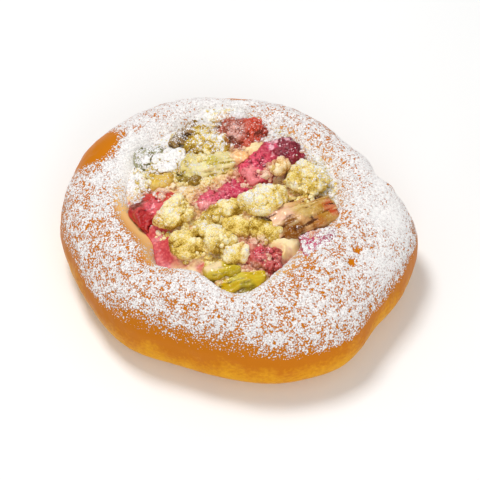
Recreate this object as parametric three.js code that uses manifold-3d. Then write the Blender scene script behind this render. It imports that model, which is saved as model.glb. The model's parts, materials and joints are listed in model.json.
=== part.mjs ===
// A round sweet bun of yeast dough. Its middle is pressed down into a pocket, which holds a pale curd,
// cooked chunks of rhubarb and lumps of butter crumble. Millimetres, +Z up, the origin in the middle of
// the flat base. The bun's front is towards -Y and its right side towards +X.

import * as THREE from 'three';
import { ImprovedNoise } from 'three/addons/math/ImprovedNoise.js';
import { mergeVertices } from 'three/addons/utils/BufferGeometryUtils.js';
import Module from 'manifold-3d';

const wasm = await Module();
wasm.setup();

// ---- Driving dimensions ------------------------------------------------------------------------------

const BUN_RADIUS = 54.1; // mean radius of the dough seen from above
const BELLY_HEIGHT = 11.5; // where the side bulges furthest
const CREST_HEIGHT = 32; // top of the raised rim round the pocket
const FOOT_INSET = 9; // how far the flat base stays inside the outline
const CREST_SHARE = 0.3; // where the rim is highest, from 0 at the pocket to 1 at the outline
const CURD_LEVEL = 28.2; // mean height at which the curd meets the dough
const CURD_TILT = 2.1; // how much higher it stands at the back
const CURD_DOME = 1.4; // how much higher it stands in the middle
const CURD_HIGH_SIDE = 78; // angle of its highest edge, in degrees
const POCKET_FLOOR = 17; // underside of the curd
const POCKET_WALL = 2.2; // how far the pocket's wall leans in on its way down
const WALL_FOOT = 4; // height of the wall's foot above the pocket's floor
const FIT_GAP = 0.45; // air between a piece and what it is pressed into
const SLIVER = 0.15; // detail smaller than this is smoothed away after a cut

const ROUND_SIDES = 44; // facets round the dough and the curd
const STALK_SIDES = 10;

// Slow waves of the dough's outline: [size, number of crests, angle of a crest in degrees]
const OUTLINE_WAVES = [
  [2.1, 1, -131],
  [3.7, 2, -32],
  [0.4, 4, -13],
  [1.0, 5, -1],
  [0.6, 6, -5],
];

// The rim rises and falls a little on its way round, in the same terms
const CREST_WAVES = [
  [0.7, 2, 80],
  [0.5, 3, 20],
];

// Corners of the pocket seen from above: [angle in degrees, distance from the middle]
const POCKET_CORNERS = [
  [-171, 34],
  [-150, 31],
  [-131, 35.5],
  [-113, 32],
  [-90, 38.5],
  [-68, 30.5],
  [-45, 27],
  [-12, 30],
  [18, 32.5],
  [50, 31.5],
  [88, 34.5],
  [120, 36],
  [150, 37],
];

// The dough drops into the pocket over a steep lip, but for stretches where it runs down in a gentle
// slope: [angle, half width, gentleness]
const LIP_STEEPNESS = 5;
const GENTLE_SLOPES = [
  [-158, 34, 0.78],
  [65, 110, 0.7],
  [135, 45, 0.8],
];

const DOUGH = { color: 0xd8902c, roughness: 0.55 };
const CURD = { color: 0xeac98a, roughness: 0.45 };
const CRUMBLE = { color: 0xe6c766, roughness: 0.85 };
const RHUBARB_ROUGHNESS = 0.3;

// ---- Small helpers -----------------------------------------------------------------------------------

const noise = new ImprovedNoise();
const radians = THREE.MathUtils.degToRad;

// A smooth field between about -1 and 1, with features of the given size in millimetres
function lumps(point, featureSize, seed) {
  const scale = 1 / featureSize;
  return noise.noise(point.x * scale + seed, point.y * scale - 2 * seed, point.z * scale + 3 * seed);
}

// 1 at the middle angle, falling smoothly to 0 at the half width on either side
function bump(angle, middle, halfWidth) {
  const offset = THREE.MathUtils.euclideanModulo(angle - radians(middle) + Math.PI, 2 * Math.PI) - Math.PI;
  const reach = Math.min(Math.abs(offset) / radians(halfWidth), 1);
  return 0.5 + 0.5 * Math.cos(Math.PI * reach);
}

// A mean value with slow waves added round the bun
function waved(mean, waves, angle) {
  const swell = ([size, count, crest]) => size * Math.cos(count * (angle - radians(crest)));
  return waves.reduce((sum, wave) => sum + swell(wave), mean);
}

function outlineRadius(angle) {
  return waved(BUN_RADIUS, OUTLINE_WAVES, angle);
}

// The pocket's corners joined by a smooth closed curve, read back as a radius for any angle
const pocketCurve = new THREE.CatmullRomCurve3(
  POCKET_CORNERS.map(([angle, radius]) =>
    new THREE.Vector3(radius * Math.cos(radians(angle)), radius * Math.sin(radians(angle)), 0)),
  true,
);
const pocketPoints = pocketCurve.getPoints(720).map((point) => ({
  angle: Math.atan2(point.y, point.x),
  radius: Math.hypot(point.x, point.y),
}));

function pocketRadius(angle) {
  const apart = (point) => Math.abs(Math.atan2(Math.sin(point.angle - angle), Math.cos(point.angle - angle)));
  return pocketPoints.reduce((best, point) => (apart(point) < apart(best) ? point : best)).radius;
}

// ---- Solids ------------------------------------------------------------------------------------------

// Joins the shared corners of a closed geometry and drops the flat triangles at a lathe's poles
function weld(geometry) {
  geometry.deleteAttribute('normal');
  geometry.deleteAttribute('uv');
  const welded = mergeVertices(geometry, 1e-4);
  const faces = [];
  for (let i = 0; i < welded.index.count; i += 3) {
    const corners = [0, 1, 2].map((step) => welded.index.getX(i + step));
    if (new Set(corners).size === 3) faces.push(...corners);
  }
  welded.setIndex(faces);
  return welded;
}

// Moves every corner of a geometry by a function of its position
function reshape(geometry, move) {
  const places = geometry.attributes.position;
  const point = new THREE.Vector3();
  for (let i = 0; i < places.count; i += 1) {
    point.fromBufferAttribute(places, i);
    move(point);
    places.setXYZ(i, point.x, point.y, point.z);
  }
  return geometry;
}

// The same geometry with its skin pushed out by a distance
function swollen(geometry, distance) {
  const grown = geometry.clone();
  grown.computeVertexNormals();
  const normals = grown.attributes.normal;
  const places = grown.attributes.position;
  for (let i = 0; i < places.count; i += 1) {
    places.setXYZ(
      i,
      places.getX(i) + distance * normals.getX(i),
      places.getY(i) + distance * normals.getY(i),
      places.getZ(i) + distance * normals.getZ(i),
    );
  }
  return grown;
}

function toSolid(geometry) {
  return new wasm.Manifold(new wasm.Mesh({
    numProp: 3,
    vertProperties: Float32Array.from(geometry.attributes.position.array),
    triVerts: Uint32Array.from(geometry.index.array),
  }));
}

function toGeometry(solid) {
  const { vertProperties, triVerts } = solid.getMesh();
  const geometry = new THREE.BufferGeometry();
  geometry.setAttribute('position', new THREE.BufferAttribute(Float32Array.from(vertProperties), 3));
  geometry.setIndex(Array.from(triVerts));
  geometry.computeVertexNormals();
  return geometry;
}

// A cut can leave loose scraps: the largest body stays
function largestBody(solid) {
  const bodies = solid.decompose();
  return bodies.reduce((best, body) => (body.volume() > best.volume() ? body : best));
}

// A closed solid of revolution whose rings follow uneven outlines. Each row gives the radius and the
// height of one ring at an angle; the first and the last row lie on the axis.
function ringSolid(rows, sides) {
  const nominal = rows.map((row, i) => new THREE.Vector2(row(0)[0], i));
  const lathe = weld(new THREE.LatheGeometry(nominal, sides));
  return reshape(lathe, (point) => {
    const angle = Math.atan2(point.x, point.z);
    const [radius, height] = rows[Math.round(point.y)](angle);
    point.set(radius * Math.cos(angle), radius * Math.sin(angle), height);
  });
}

// ---- Dough -------------------------------------------------------------------------------------------

const SIDE_ROUNDNESS = 2; // 2 is an ellipse, more is squarer
const ROUGH_FROM = 36; // distance from the middle where the unevenness of the dough sets in
const ROUGH_FULL = 44; // and where it has its full depth
const SWELL_OUTWARDS = 0.5; // share of an upward swell that also goes outwards

// Swells of the dough: [depth, feature size, seed]
const DOUGH_SWELLS = [
  [1.5, 21, 0.4],
  [0.7, 9, 2.3],
];

// A quarter of a squarish ellipse, from the belly at turn 0 to the crest or the foot at turn 1
function quarter(turn) {
  const power = 2 / SIDE_ROUNDNESS;
  const along = Math.cos(0.5 * Math.PI * turn) ** power;
  const up = Math.sin(0.5 * Math.PI * turn) ** power;
  return [1 - along, up];
}

function crestRadius(angle) {
  return THREE.MathUtils.lerp(pocketRadius(angle), outlineRadius(angle), CREST_SHARE);
}

function crestHeight(angle) {
  return waved(CREST_HEIGHT, CREST_WAVES, angle);
}

// Height of the curd at a share of the way out to its edge. It stands highest at the back.
function curdHeight(angle, share) {
  const tilt = CURD_TILT * share * Math.cos(angle - radians(CURD_HIGH_SIDE));
  return CURD_LEVEL + tilt + CURD_DOME * (1 - share ** 2);
}

function lowerSide(turn) {
  return (angle) => {
    const [inset, drop] = quarter(turn);
    return [outlineRadius(angle) - FOOT_INSET * inset, BELLY_HEIGHT * (1 - drop)];
  };
}

function upperSide(turn) {
  return (angle) => {
    const [inset, rise] = quarter(turn);
    const outline = outlineRadius(angle);
    const radius = outline - (outline - crestRadius(angle)) * inset;
    return [radius, BELLY_HEIGHT + (crestHeight(angle) - BELLY_HEIGHT) * rise];
  };
}

// The roll from the crest at share 1 down to the edge of the curd at share 0
function innerSlope(share) {
  return (angle) => {
    const gentle = GENTLE_SLOPES.reduce(
      (most, [middle, halfWidth, amount]) => Math.max(most, amount * bump(angle, middle, halfWidth)), 0);
    const power = LIP_STEEPNESS ** (1 - gentle);
    const pocket = pocketRadius(angle);
    const rise = 1 - (1 - share) ** power;
    const radius = THREE.MathUtils.lerp(pocket, crestRadius(angle), share);
    return [radius, THREE.MathUtils.lerp(curdHeight(angle, 1), crestHeight(angle), rise)];
  };
}

// Wall and floor of the pocket below the edge of the curd, or the underside of the curd itself when
// it is drawn in by a clearance
function pocketWall(clearance) {
  return (angle) => [pocketRadius(angle) - POCKET_WALL - clearance, POCKET_FLOOR + WALL_FOOT + clearance];
}

function pocketFloor(share, clearance) {
  return (angle) => [share * (pocketRadius(angle) - 3 * POCKET_WALL - clearance), POCKET_FLOOR + clearance];
}

// Soft unevenness of risen dough. The flat base and the pocket, whose fit is close, stay even.
function roughenDough(geometry) {
  return reshape(geometry, (point) => {
    const upper = THREE.MathUtils.smoothstep(point.z, 0, BELLY_HEIGHT);
    const outer = Math.max(Math.hypot(point.x, point.y), 1);
    const onRim = THREE.MathUtils.smoothstep(outer, ROUGH_FROM, ROUGH_FULL);
    const swell = upper * onRim * DOUGH_SWELLS.reduce(
      (sum, [depth, feature, seed]) => sum + depth * lumps(point, feature, seed), 0);
    point.z += swell;
    point.x += SWELL_OUTWARDS * swell * point.x / outer;
    point.y += SWELL_OUTWARDS * swell * point.y / outer;
  });
}

function doughSolid() {
  const base = [() => [0, 0], (angle) => [0.5 * outlineRadius(angle), 0]];
  const lower = [1, 0.7, 0.38].map(lowerSide);
  const upper = [0, 0.2, 0.38, 0.54, 0.68, 0.8, 0.91, 1].map(upperSide);
  const inner = [0.75, 0.5, 0.3, 0.15, 0.06, 0].map(innerSlope);
  const pocket = [pocketWall(0), pocketFloor(1, 0), pocketFloor(0, 0)];
  return toSolid(roughenDough(ringSolid([...base, ...lower, ...upper, ...inner, ...pocket], ROUND_SIDES)));
}

// ---- Curd --------------------------------------------------------------------------------------------

const RIPPLE_DEPTH = 0.9; // unevenness of the curd's top
const RIPPLE_SIZE = 8;
const RIPPLE_SEED = 5.1;
const EDGE_DROP = 0.2; // how much lower the curd's edge lies than the dough round it

// Top of the curd, a little lumpy away from its edge
function curdTop(share) {
  return (angle) => {
    const radius = share * (pocketRadius(angle) - FIT_GAP);
    const place = new THREE.Vector3(radius * Math.cos(angle), radius * Math.sin(angle), 0);
    const ripple = share < 1 ? RIPPLE_DEPTH * lumps(place, RIPPLE_SIZE, RIPPLE_SEED) : -EDGE_DROP;
    return [radius, curdHeight(angle, share) + ripple];
  };
}

function curdSolid() {
  const under = [pocketFloor(0, FIT_GAP), pocketFloor(1, FIT_GAP)];
  const top = [1, 0.84, 0.64, 0.42, 0.2, 0].map(curdTop);
  return toSolid(ringSolid([...under, pocketWall(FIT_GAP), ...top], ROUND_SIDES));
}

// ---- Rhubarb -----------------------------------------------------------------------------------------

// Where a piece lies in the pocket: turned about Z by yaw, with its far end raised by tilt
function lay(geometry, { at, yaw = 0, tilt = 0, roll = 0 }) {
  const turn = new THREE.Matrix4().makeRotationFromEuler(
    new THREE.Euler(radians(roll), radians(-tilt), radians(yaw), 'ZYX'));
  return geometry.applyMatrix4(turn).translate(...at);
}

// Half outline of a cut length of stalk: blunt ends, a barely bulging middle
const STALK_PROFILE = [
  [0, -0.5],
  [0.62, -0.5],
  [0.93, -0.44],
  [1, -0.26],
  [0.96, 0],
  [1, 0.28],
  [0.84, 0.46],
  [0.5, 0.5],
  [0, 0.5],
];

// How far cooking has slumped a stalk along each axis: [depth, feature size, added to the seed]
const SLUMP = {
  x: [1.1, 4, 3],
  y: [1.5, 6, 0],
  z: [0.8, 5, 7],
};

// A cooked length of stalk along X: flattened, ribbed lengthwise, a little slumped and bent
function stalkPiece({ size: [length, width, height], ribs = 4, ribDepth = 0.07, bend = 0, seed, ...place }) {
  const profile = STALK_PROFILE.map(([radius, along]) => new THREE.Vector2(radius, along));
  const stalk = weld(new THREE.LatheGeometry(profile, STALK_SIDES));
  reshape(stalk, (point) => {
    const around = Math.atan2(point.x, point.z);
    const rib = 1 + ribDepth * Math.cos(ribs * around + seed);
    const along = point.y;
    point.set(along * length, rib * point.z * width / 2, rib * point.x * height / 2);
    for (const axis of ['y', 'z', 'x']) {
      const [depth, feature, offset] = SLUMP[axis];
      point[axis] += depth * lumps(point, feature, seed + offset);
    }
    point.z -= bend * (2 * along) ** 2;
  });
  return [lay(stalk, place)];
}

// ---- Crumble -----------------------------------------------------------------------------------------

const CORE_SHARE = 0.86; // size of a lump's core against the whole lump
const KNOB_GIRTH = [0.34, 0.5]; // least and most girth of a knob against the lump's mean size
const KNOB_FORM = [1.15, 1, 0.95]; // length, width and height of a knob against its girth
const KNOB_HEIGHT = [0.15, 0.75]; // how high up on the core the knobs sit, from 0 to 1 at the top
const KNOB_OUT = 0.66; // how far out and up a knob's middle lies, against the lump's surface
const KNOB_UP = 0.7;

// One knobbly crumb from a many-sided ball, longest along X
function crumb(ball, [length, width, height], seed) {
  return reshape(weld(ball), (point) => {
    const knobbly = 1 + 0.3 * lumps(point, 0.9, seed) + 0.12 * lumps(point, 0.45, seed + 5);
    point.multiplyScalar(knobbly);
    point.set(point.x * length / 2, point.y * width / 2, point.z * height / 2);
  });
}

// A lump of crumble: a core with smaller crumbs baked on round its upper side
function crumbleLump({ size, crumbs = 4, seed, ...place }) {
  const random = THREE.MathUtils.seededRandom;
  const between = ([least, most]) => THREE.MathUtils.lerp(least, most, random());
  random(seed);
  const core = size.map((extent) => CORE_SHARE * extent);
  const meanSize = Math.cbrt(size[0] * size[1] * size[2]);
  const pieces = [crumb(new THREE.IcosahedronGeometry(1, 1), core, seed)];
  for (let i = 0; i < crumbs; i += 1) {
    const around = 2 * Math.PI * (i + 0.6 * random()) / crumbs;
    const up = between(KNOB_HEIGHT);
    const out = Math.sqrt(1 - up * up) * KNOB_OUT;
    const girth = between(KNOB_GIRTH) * meanSize;
    const knob = crumb(new THREE.IcosahedronGeometry(1), KNOB_FORM.map((share) => share * girth), seed + i + 1);
    knob.rotateZ(around + i);
    knob.translate(
      0.5 * size[0] * out * Math.cos(around),
      0.5 * size[1] * out * Math.sin(around),
      0.5 * size[2] * up * KNOB_UP,
    );
    pieces.push(knob);
  }
  return pieces.map((piece) => lay(piece, place));
}

// ---- The pieces in the pocket, from the ones on top down to the ones beneath --------------------------

const PIECES = [
  // Lumps of crumble on top
  { name: 'crumble_diagonal', make: crumbleLump, at: [-7.4, -17.6, 31], size: [17.5, 8.5, 8], yaw: -40,
    crumbs: 4, seed: 11 },
  { name: 'crumble_block', make: crumbleLump, at: [-0.6, -23.2, 30], size: [8, 8.5, 8], yaw: 20, crumbs: 2,
    seed: 12 },
  { name: 'crumble_middle', make: crumbleLump, at: [7.4, -3.2, 32], size: [18, 12, 9], yaw: 8, crumbs: 4,
    seed: 13 },
  { name: 'crumble_wing', make: crumbleLump, at: [-4.6, -7.4, 30.6], size: [17, 8, 8], yaw: 24, crumbs: 3,
    seed: 14 },
  { name: 'crumble_tip', make: crumbleLump, at: [-1.6, -12.2, 29.6], size: [13, 8, 8], yaw: -20, crumbs: 3,
    seed: 15 },
  { name: 'crumble_left', make: crumbleLump, at: [-19.8, -6.2, 30], size: [15.5, 9.5, 8.5], yaw: 66,
    crumbs: 3, seed: 16 },
  { name: 'crumble_shoulder', make: crumbleLump, at: [-15.2, 1, 29.4], size: [9, 8, 7], yaw: -15, crumbs: 2,
    seed: 17 },
  { name: 'crumble_low', make: crumbleLump, at: [-14.6, -18.4, 29], size: [14.5, 11, 7.5], yaw: -12,
    crumbs: 3, seed: 18 },
  { name: 'crumble_green', make: crumbleLump, at: [8.6, -13.4, 29.4], size: [13, 10, 7], yaw: -20, crumbs: 3,
    seed: 19 },
  { name: 'crumble_right', make: crumbleLump, at: [21.8, 6, 32.2], size: [15.5, 12, 8.5], yaw: -18, crumbs: 4,
    seed: 20 },
  { name: 'crumble_back', make: crumbleLump, at: [-10, 21.6, 31.5], size: [20, 12, 8], yaw: -6, crumbs: 4,
    seed: 21 },
  { name: 'crumble_far_left', make: crumbleLump, at: [-22.6, 14.4, 30.1], size: [15, 11, 7.5], yaw: 30,
    crumbs: 3, seed: 22 },
  { name: 'crumble_crest', make: crumbleLump, at: [-6, 33, 31.4], size: [20, 9, 6.5], yaw: -4, crumbs: 3,
    seed: 24 },
  { name: 'crumble_saddle', make: crumbleLump, at: [13, 9.6, 34.4], size: [7.5, 5.5, 5], yaw: 40, crumbs: 2,
    seed: 23 },
  // Chunks of rhubarb between and below them
  { name: 'rhubarb_back', make: stalkPiece, color: 0xb84428, at: [1.8, 25.8, 31.9], size: [14.5, 11.5, 9.5],
    yaw: -14, seed: 31 },
  { name: 'rhubarb_crimson', make: stalkPiece, color: 0xb02a3e, at: [10.6, 13.8, 31.3], size: [23.5, 13, 9.5],
    yaw: 36, tilt: 6, bend: 1, seed: 32 },
  { name: 'rhubarb_apricot', make: stalkPiece, color: 0xf0a068, at: [1, 14.4, 31], size: [6.5, 6.5, 6],
    yaw: -30, ribs: 3, seed: 33 },
  { name: 'rhubarb_caramel', make: stalkPiece, color: 0xbb8848, at: [19, -8, 30.3], size: [23.5, 15, 8.5],
    yaw: 24, tilt: 2, ribs: 6, ribDepth: 0.06, bend: 1.2, seed: 34 },
  { name: 'rhubarb_pale', make: stalkPiece, color: 0xdcc87c, at: [-9.6, 12.4, 30.3], size: [18.5, 10.5, 8],
    yaw: 10, ribs: 5, seed: 35 },
  { name: 'rhubarb_middle', make: stalkPiece, color: 0xdb5c68, at: [-3.4, 0.4, 28.6], size: [19.5, 10, 8],
    yaw: 35, seed: 36 },
  { name: 'rhubarb_left', make: stalkPiece, color: 0xc8483c, at: [-25.8, -3.6, 28.4], size: [16, 11, 8.5],
    yaw: 42, seed: 37 },
  { name: 'rhubarb_front', make: stalkPiece, color: 0xcc6054, at: [5.8, -22.6, 27.6], size: [15.5, 11, 8.5],
    yaw: -16, seed: 38 },
  { name: 'rhubarb_flap', make: stalkPiece, color: 0xd2b04c, at: [-5.4, -28.2, 28.4], size: [11, 6.5, 5],
    yaw: 24, tilt: 12, ribs: 3, seed: 39 },
  { name: 'rhubarb_green', make: stalkPiece, color: 0xb4981c, at: [1, -32.4, 27], size: [15, 9, 7.5], yaw: 8,
    ribs: 5, seed: 40 },
  { name: 'rhubarb_olive', make: stalkPiece, color: 0x8c6a20, at: [-15.6, 7.2, 29.6], size: [8.5, 7, 6],
    yaw: -25, seed: 41 },
  { name: 'rhubarb_ochre', make: stalkPiece, color: 0xd8a83c, at: [-23.8, 6.4, 29.4], size: [9.5, 7.5, 6.5],
    yaw: 6, seed: 42 },
  { name: 'rhubarb_sunken', make: stalkPiece, color: 0x9aa07c, at: [-28, 16.8, 30.2], size: [10.5, 8.5, 6],
    yaw: 12, seed: 43 },
  { name: 'rhubarb_brown', make: stalkPiece, color: 0x8a6238, at: [-16.2, 24, 31.8], size: [9.5, 9, 6.5],
    yaw: 65, seed: 44 },
  { name: 'rhubarb_rim', make: stalkPiece, color: 0xb84c6c, at: [25, -18.4, 30.4], size: [13.5, 10, 6],
    yaw: 30, seed: 45 },
];

// ---- Assembly ----------------------------------------------------------------------------------------

function fuse(geometries) {
  return geometries.map(toSolid).reduce((whole, piece) => whole.add(piece));
}

function makeMesh(name, solid, { color, roughness }, at = [0, 0, 0]) {
  const geometry = toGeometry(solid).translate(...at.map((value) => -value));
  const mesh = new THREE.Mesh(geometry, new THREE.MeshStandardMaterial({ color, roughness, metalness: 0 }));
  mesh.name = name;
  mesh.position.set(...at);
  return mesh;
}

const bun = new THREE.Group();
let pressedIn = null; // the pieces set in so far, swollen by the gap

// Cuts the room of the pieces above out of a solid and adds what is left as a mesh
function setIn(name, solid, finish, at) {
  const cut = pressedIn ? solid.subtract(pressedIn) : solid;
  bun.add(makeMesh(name, largestBody(cut).simplify(SLIVER), finish, at));
}

for (const { name, make, color, at, ...form } of PIECES) {
  const shapes = make({ at, ...form });
  const finish = color ? { color, roughness: RHUBARB_ROUGHNESS } : CRUMBLE;
  setIn(name, fuse(shapes), finish, at);
  const room = fuse(shapes.map((shape) => swollen(shape, FIT_GAP))).simplify(SLIVER);
  pressedIn = pressedIn ? pressedIn.add(room) : room;
}
setIn('curd', curdSolid(), CURD);
setIn('dough', doughSolid(), DOUGH);

// The origin goes to the middle of the base
const extent = new THREE.Box3().setFromObject(bun);
const middle = extent.getCenter(new THREE.Vector3());
bun.position.set(-middle.x, -middle.y, -extent.min.z);

export default bun;
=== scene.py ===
"""A round sweet bun of yeast dough with a pocket of curd, cooked rhubarb and butter crumble, dusted with
icing sugar. Laid out as an add-on and run as a script. Lengths here are millimetres until a mesh is made.
"""

import json
import math

import bmesh
import bpy
import numpy as np
from bpy.props import FloatProperty, FloatVectorProperty, IntProperty, PointerProperty
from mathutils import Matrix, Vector
from mathutils.bvhtree import BVHTree

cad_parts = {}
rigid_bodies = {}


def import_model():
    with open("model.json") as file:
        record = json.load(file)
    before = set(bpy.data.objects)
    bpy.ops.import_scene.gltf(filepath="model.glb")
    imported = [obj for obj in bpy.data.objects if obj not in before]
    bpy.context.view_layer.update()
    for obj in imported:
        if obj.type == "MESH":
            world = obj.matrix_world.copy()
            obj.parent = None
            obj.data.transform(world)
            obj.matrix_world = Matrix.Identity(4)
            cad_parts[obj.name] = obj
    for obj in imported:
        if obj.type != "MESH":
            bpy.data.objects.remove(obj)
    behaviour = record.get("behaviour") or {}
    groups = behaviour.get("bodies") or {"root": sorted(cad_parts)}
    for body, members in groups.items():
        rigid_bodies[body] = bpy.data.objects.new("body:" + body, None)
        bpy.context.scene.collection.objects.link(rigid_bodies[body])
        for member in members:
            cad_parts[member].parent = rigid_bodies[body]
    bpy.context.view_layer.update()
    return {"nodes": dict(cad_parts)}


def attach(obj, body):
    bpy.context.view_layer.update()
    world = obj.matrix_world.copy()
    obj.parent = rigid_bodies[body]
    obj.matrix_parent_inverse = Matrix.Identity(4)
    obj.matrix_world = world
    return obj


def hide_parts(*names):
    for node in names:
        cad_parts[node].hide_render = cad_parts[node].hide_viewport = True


bl_info = {
    "name": "Sweet Bun",
    "version": (1, 0, 0),
    "blender": (4, 5, 0),
    "location": "View3D > Sidebar > Sweet Bun",
    "description": "Builds a filled yeast bun with rhubarb, crumble and icing sugar",
    "category": "Add Mesh",
}

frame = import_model()
MM = 0.001

# ---- Form of the dough, as the solids have it ----------------------------------------------------------

MIDDLE = (0.068, 2.117)  # centre of the rings below, from the origin
BUN_RADIUS = 54.1
OUTLINE_WAVES = [(2.1, 1, -131), (3.7, 2, -32), (0.4, 4, -13), (1.0, 5, -1), (0.6, 6, -5)]
BELLY_HEIGHT = 11.5
FOOT_INSET = 9
CREST_HEIGHT = 32
CREST_WAVES = [(0.7, 2, 80), (0.5, 3, 20)]
CREST_SHARE = 0.3  # where the rim is highest, from 0 at the pocket to 1 at the outline
POCKET_CORNERS = [
    (-171, 34), (-150, 31), (-131, 35.5), (-113, 32), (-90, 38.5), (-68, 30.5), (-45, 27),
    (-12, 30), (18, 32.5), (50, 31.5), (88, 34.5), (120, 36), (150, 37),
]  # angle in degrees and distance from the middle
LIP_STEEPNESS = 5
GENTLE_SLOPES = [(-158, 34, 0.78), (65, 110, 0.7), (135, 45, 0.8)]  # angle, half width, gentleness
POCKET_FLOOR = 17
POCKET_WALL = 2.2
CURD_LEVEL = 28.2
CURD_TILT = 2.1
CURD_HIGH_SIDE = 78
CURD_DOME = 1.4
SWELLS_FROM, SWELLS_FULL = 36, 44  # distances from the middle between which the dough's swells set in

CRUST_SIDES = 720
CURD_SIDES = 560
CURD_RINGS = 110

# ---- What lies in the pocket ---------------------------------------------------------------------------

# Rhubarb: colour at the left end and at the right end, painted shade in hollows and low down, of the fibres
# (also painted light on grains), then how much of it icing sugar covers, and how fibrous and how grainy it is
STALKS = {
    "rhubarb_back": ("#a44830", "#d03c20", "#842c14", "#f4b0a0", 0.22, 0.3, 1.0),
    "rhubarb_crimson": ("#e84c68", "#98021c", "#78001a", "#e87484", 0.01, 0.2, 0.85),
    "rhubarb_apricot": ("#fdd8ac", "#fabc78", "#e09450", "#feecd0", 0.10, 0.2, 0.5),
    "rhubarb_caramel": ("#ecb888", "#b88024", "#5c2c00", "#f4dca0", 0.05, 1.0, 0.3),
    "rhubarb_pale": ("#dcc878", "#e4d28c", "#a08414", "#f8f0c8", 0.30, 0.9, 0.4),
    "rhubarb_middle": ("#e4506c", "#cc2450", "#7c0c20", "#f8a8ac", 0.03, 0.3, 1.0),
    "rhubarb_left": ("#b01c20", "#cc4034", "#4c0404", "#e8645c", 0.02, 0.5, 0.7),
    "rhubarb_front": ("#c86048", "#b8282c", "#641c10", "#f8b0a0", 0.06, 0.2, 1.0),
    "rhubarb_flap": ("#d0b428", "#bca408", "#6c5600", "#e8d870", 0.06, 0.5, 0.2),
    "rhubarb_green": ("#c8a404", "#ccaa0c", "#6c5200", "#e0cc38", 0.02, 1.0, 0.2),
    "rhubarb_olive": ("#9c8228", "#886408", "#503a04", "#c8ac50", 0.16, 0.5, 0.7),
    "rhubarb_ochre": ("#dcb444", "#d4a42c", "#a07800", "#f4e49c", 0.14, 0.5, 0.5),
    "rhubarb_sunken": ("#a4a078", "#747038", "#2c2404", "#d0ceaa", 0.80, 0.6, 0.7),
    "rhubarb_brown": ("#8c6834", "#9c7848", "#341c04", "#d4b880", 0.52, 0.3, 1.0),
    "rhubarb_rim": ("#c43c64", "#a02448", "#701438", "#eaa0b0", 0.74, 0.4, 0.6),
}
# Spots of colour on the flesh: x, y, radius, colour. Most are the flesh's own colour; some are painted
# highlights and painted shade, noted where they stand
FLESH_SPOTS_HIGHLIGHTS_AND_SHADE = {
    # On rhubarb_back the dark brown spot at the lower left is painted shade in a hollow
    "rhubarb_back": [(-1.0, 26, 3.0, "#dca89c"), (6.5, 25.5, 3.5, "#d03c18"), (-3.5, 23, 2.5, "#54240c")],
    "rhubarb_crimson": [(15.5, 20.5, 6.5, "#640014"), (19, 14.5, 4.0, "#880424"), (4, 8.5, 4.0, "#f08c8c"),
                        (10.5, 19.5, 2.5, "#d83460"), (10, 10.5, 2.6, "#dca078"),
                        # Painted highlights: small pale glints on the crimson chunk's glossy facets
                        (11.5, 21.5, 1.2, "#f6c4cc"), (10.8, 18.5, 1.1, "#f4b8c4"),
                        (15.4, 22, 0.9, "#f0b0bc")],
    "rhubarb_caramel": [(12, -7, 5.0, "#eebca2"), (21, -5, 4.0, "#c8a050"), (16.5, -13, 4.5, "#8c5000"),
                        (29, -4, 2.8, "#c04c1c"), (25.5, -10, 2.5, "#b06818")],
    "rhubarb_pale": [(-12, 12, 3.0, "#ecdfa0"), (-8, 14, 2.5, "#c8b43c")],
    "rhubarb_middle": [(3, 5, 4.5, "#dc2c5c"), (-9.5, -4.0, 3.0, "#f49c98")],
    "rhubarb_left": [(-31, -1.5, 3.0, "#6a2810"), (-26, -3, 3.8, "#e0606c"), (-27, -9, 3.0, "#b41420")],
    "rhubarb_front": [(3.5, -18, 3.0, "#dc947c"), (8, -21.5, 4.0, "#cc3448"), (5, -26.5, 3.0, "#a4603c")],
    "rhubarb_flap": [(-7.5, -26, 2.6, "#f0d8ac")],
    "rhubarb_green": [(0, -28.5, 3.0, "#ccb848"), (3, -33, 3.0, "#8c7804")],
    "rhubarb_sunken": [(-28, 15, 2.6, "#544c10")],
    "rhubarb_brown": [(-16, 23.5, 2.4, "#54300a")],
}
# Flat cuts that show: the direction that each faces, as an angle from +X and one above level, and its depth
FLAT_CUTS = {
    "rhubarb_green": [(0, 90, 1.8)], "rhubarb_flap": [(0, 90, 1.0)], "rhubarb_left": [(0, 90, 0.8)],
    "rhubarb_rim": [(0, 90, 2.2), (190, 10, 2.0)], "rhubarb_back": [(-48, 15, 3.2), (60, 20, 0.8)],
    "rhubarb_crimson": [(20, 10, 2.0), (75, 10, 1.2), (60, 60, 0.8)],
    "rhubarb_caramel": [(-50, 50, 1.2), (80, 60, 0.8)], "rhubarb_front": [(-60, 50, 1.0)],
    "crumble_saddle": [(0, 90, 1.2)], "crumble_low": [(0, 90, 0.5)], "crumble_block": [(0, 90, 0.6)],
}
STALK_SLOTS = {
    "red_rhubarb": ("back", "crimson", "middle", "left", "front", "rim"),
    "green_rhubarb": ("pale", "flap", "green", "olive", "ochre", "sunken"),
    "browned_rhubarb": ("caramel", "apricot", "brown"),
}

# Lumps of crumble: how much of each the icing sugar covers
LUMPS = {
    "crumble_diagonal": 0.32, "crumble_block": 0.30, "crumble_middle": 0.42, "crumble_wing": 0.22,
    "crumble_tip": 0.08, "crumble_left": 0.27, "crumble_shoulder": 0.32, "crumble_low": 0.15,
    "crumble_green": 0.12, "crumble_right": 0.36, "crumble_back": 0.52, "crumble_far_left": 1.80,
    "crumble_crest": 3.20, "crumble_saddle": 0.04,
}
WET_LUMPS = ("crumble_saddle", "crumble_shoulder")  # tan with rhubarb juice

WIDE_PIECE = 16  # pieces smaller than this get shallower cuts

# Lumps baked darker than the rest, and by how much
BROWN_LUMPS = {"crumble_tip": 0.28, "crumble_wing": 0.20, "crumble_low": 0.14, "crumble_diagonal": 0.10,
               "crumble_green": 0.28, "crumble_saddle": 0.25, "crumble_back": 0.26}

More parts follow.
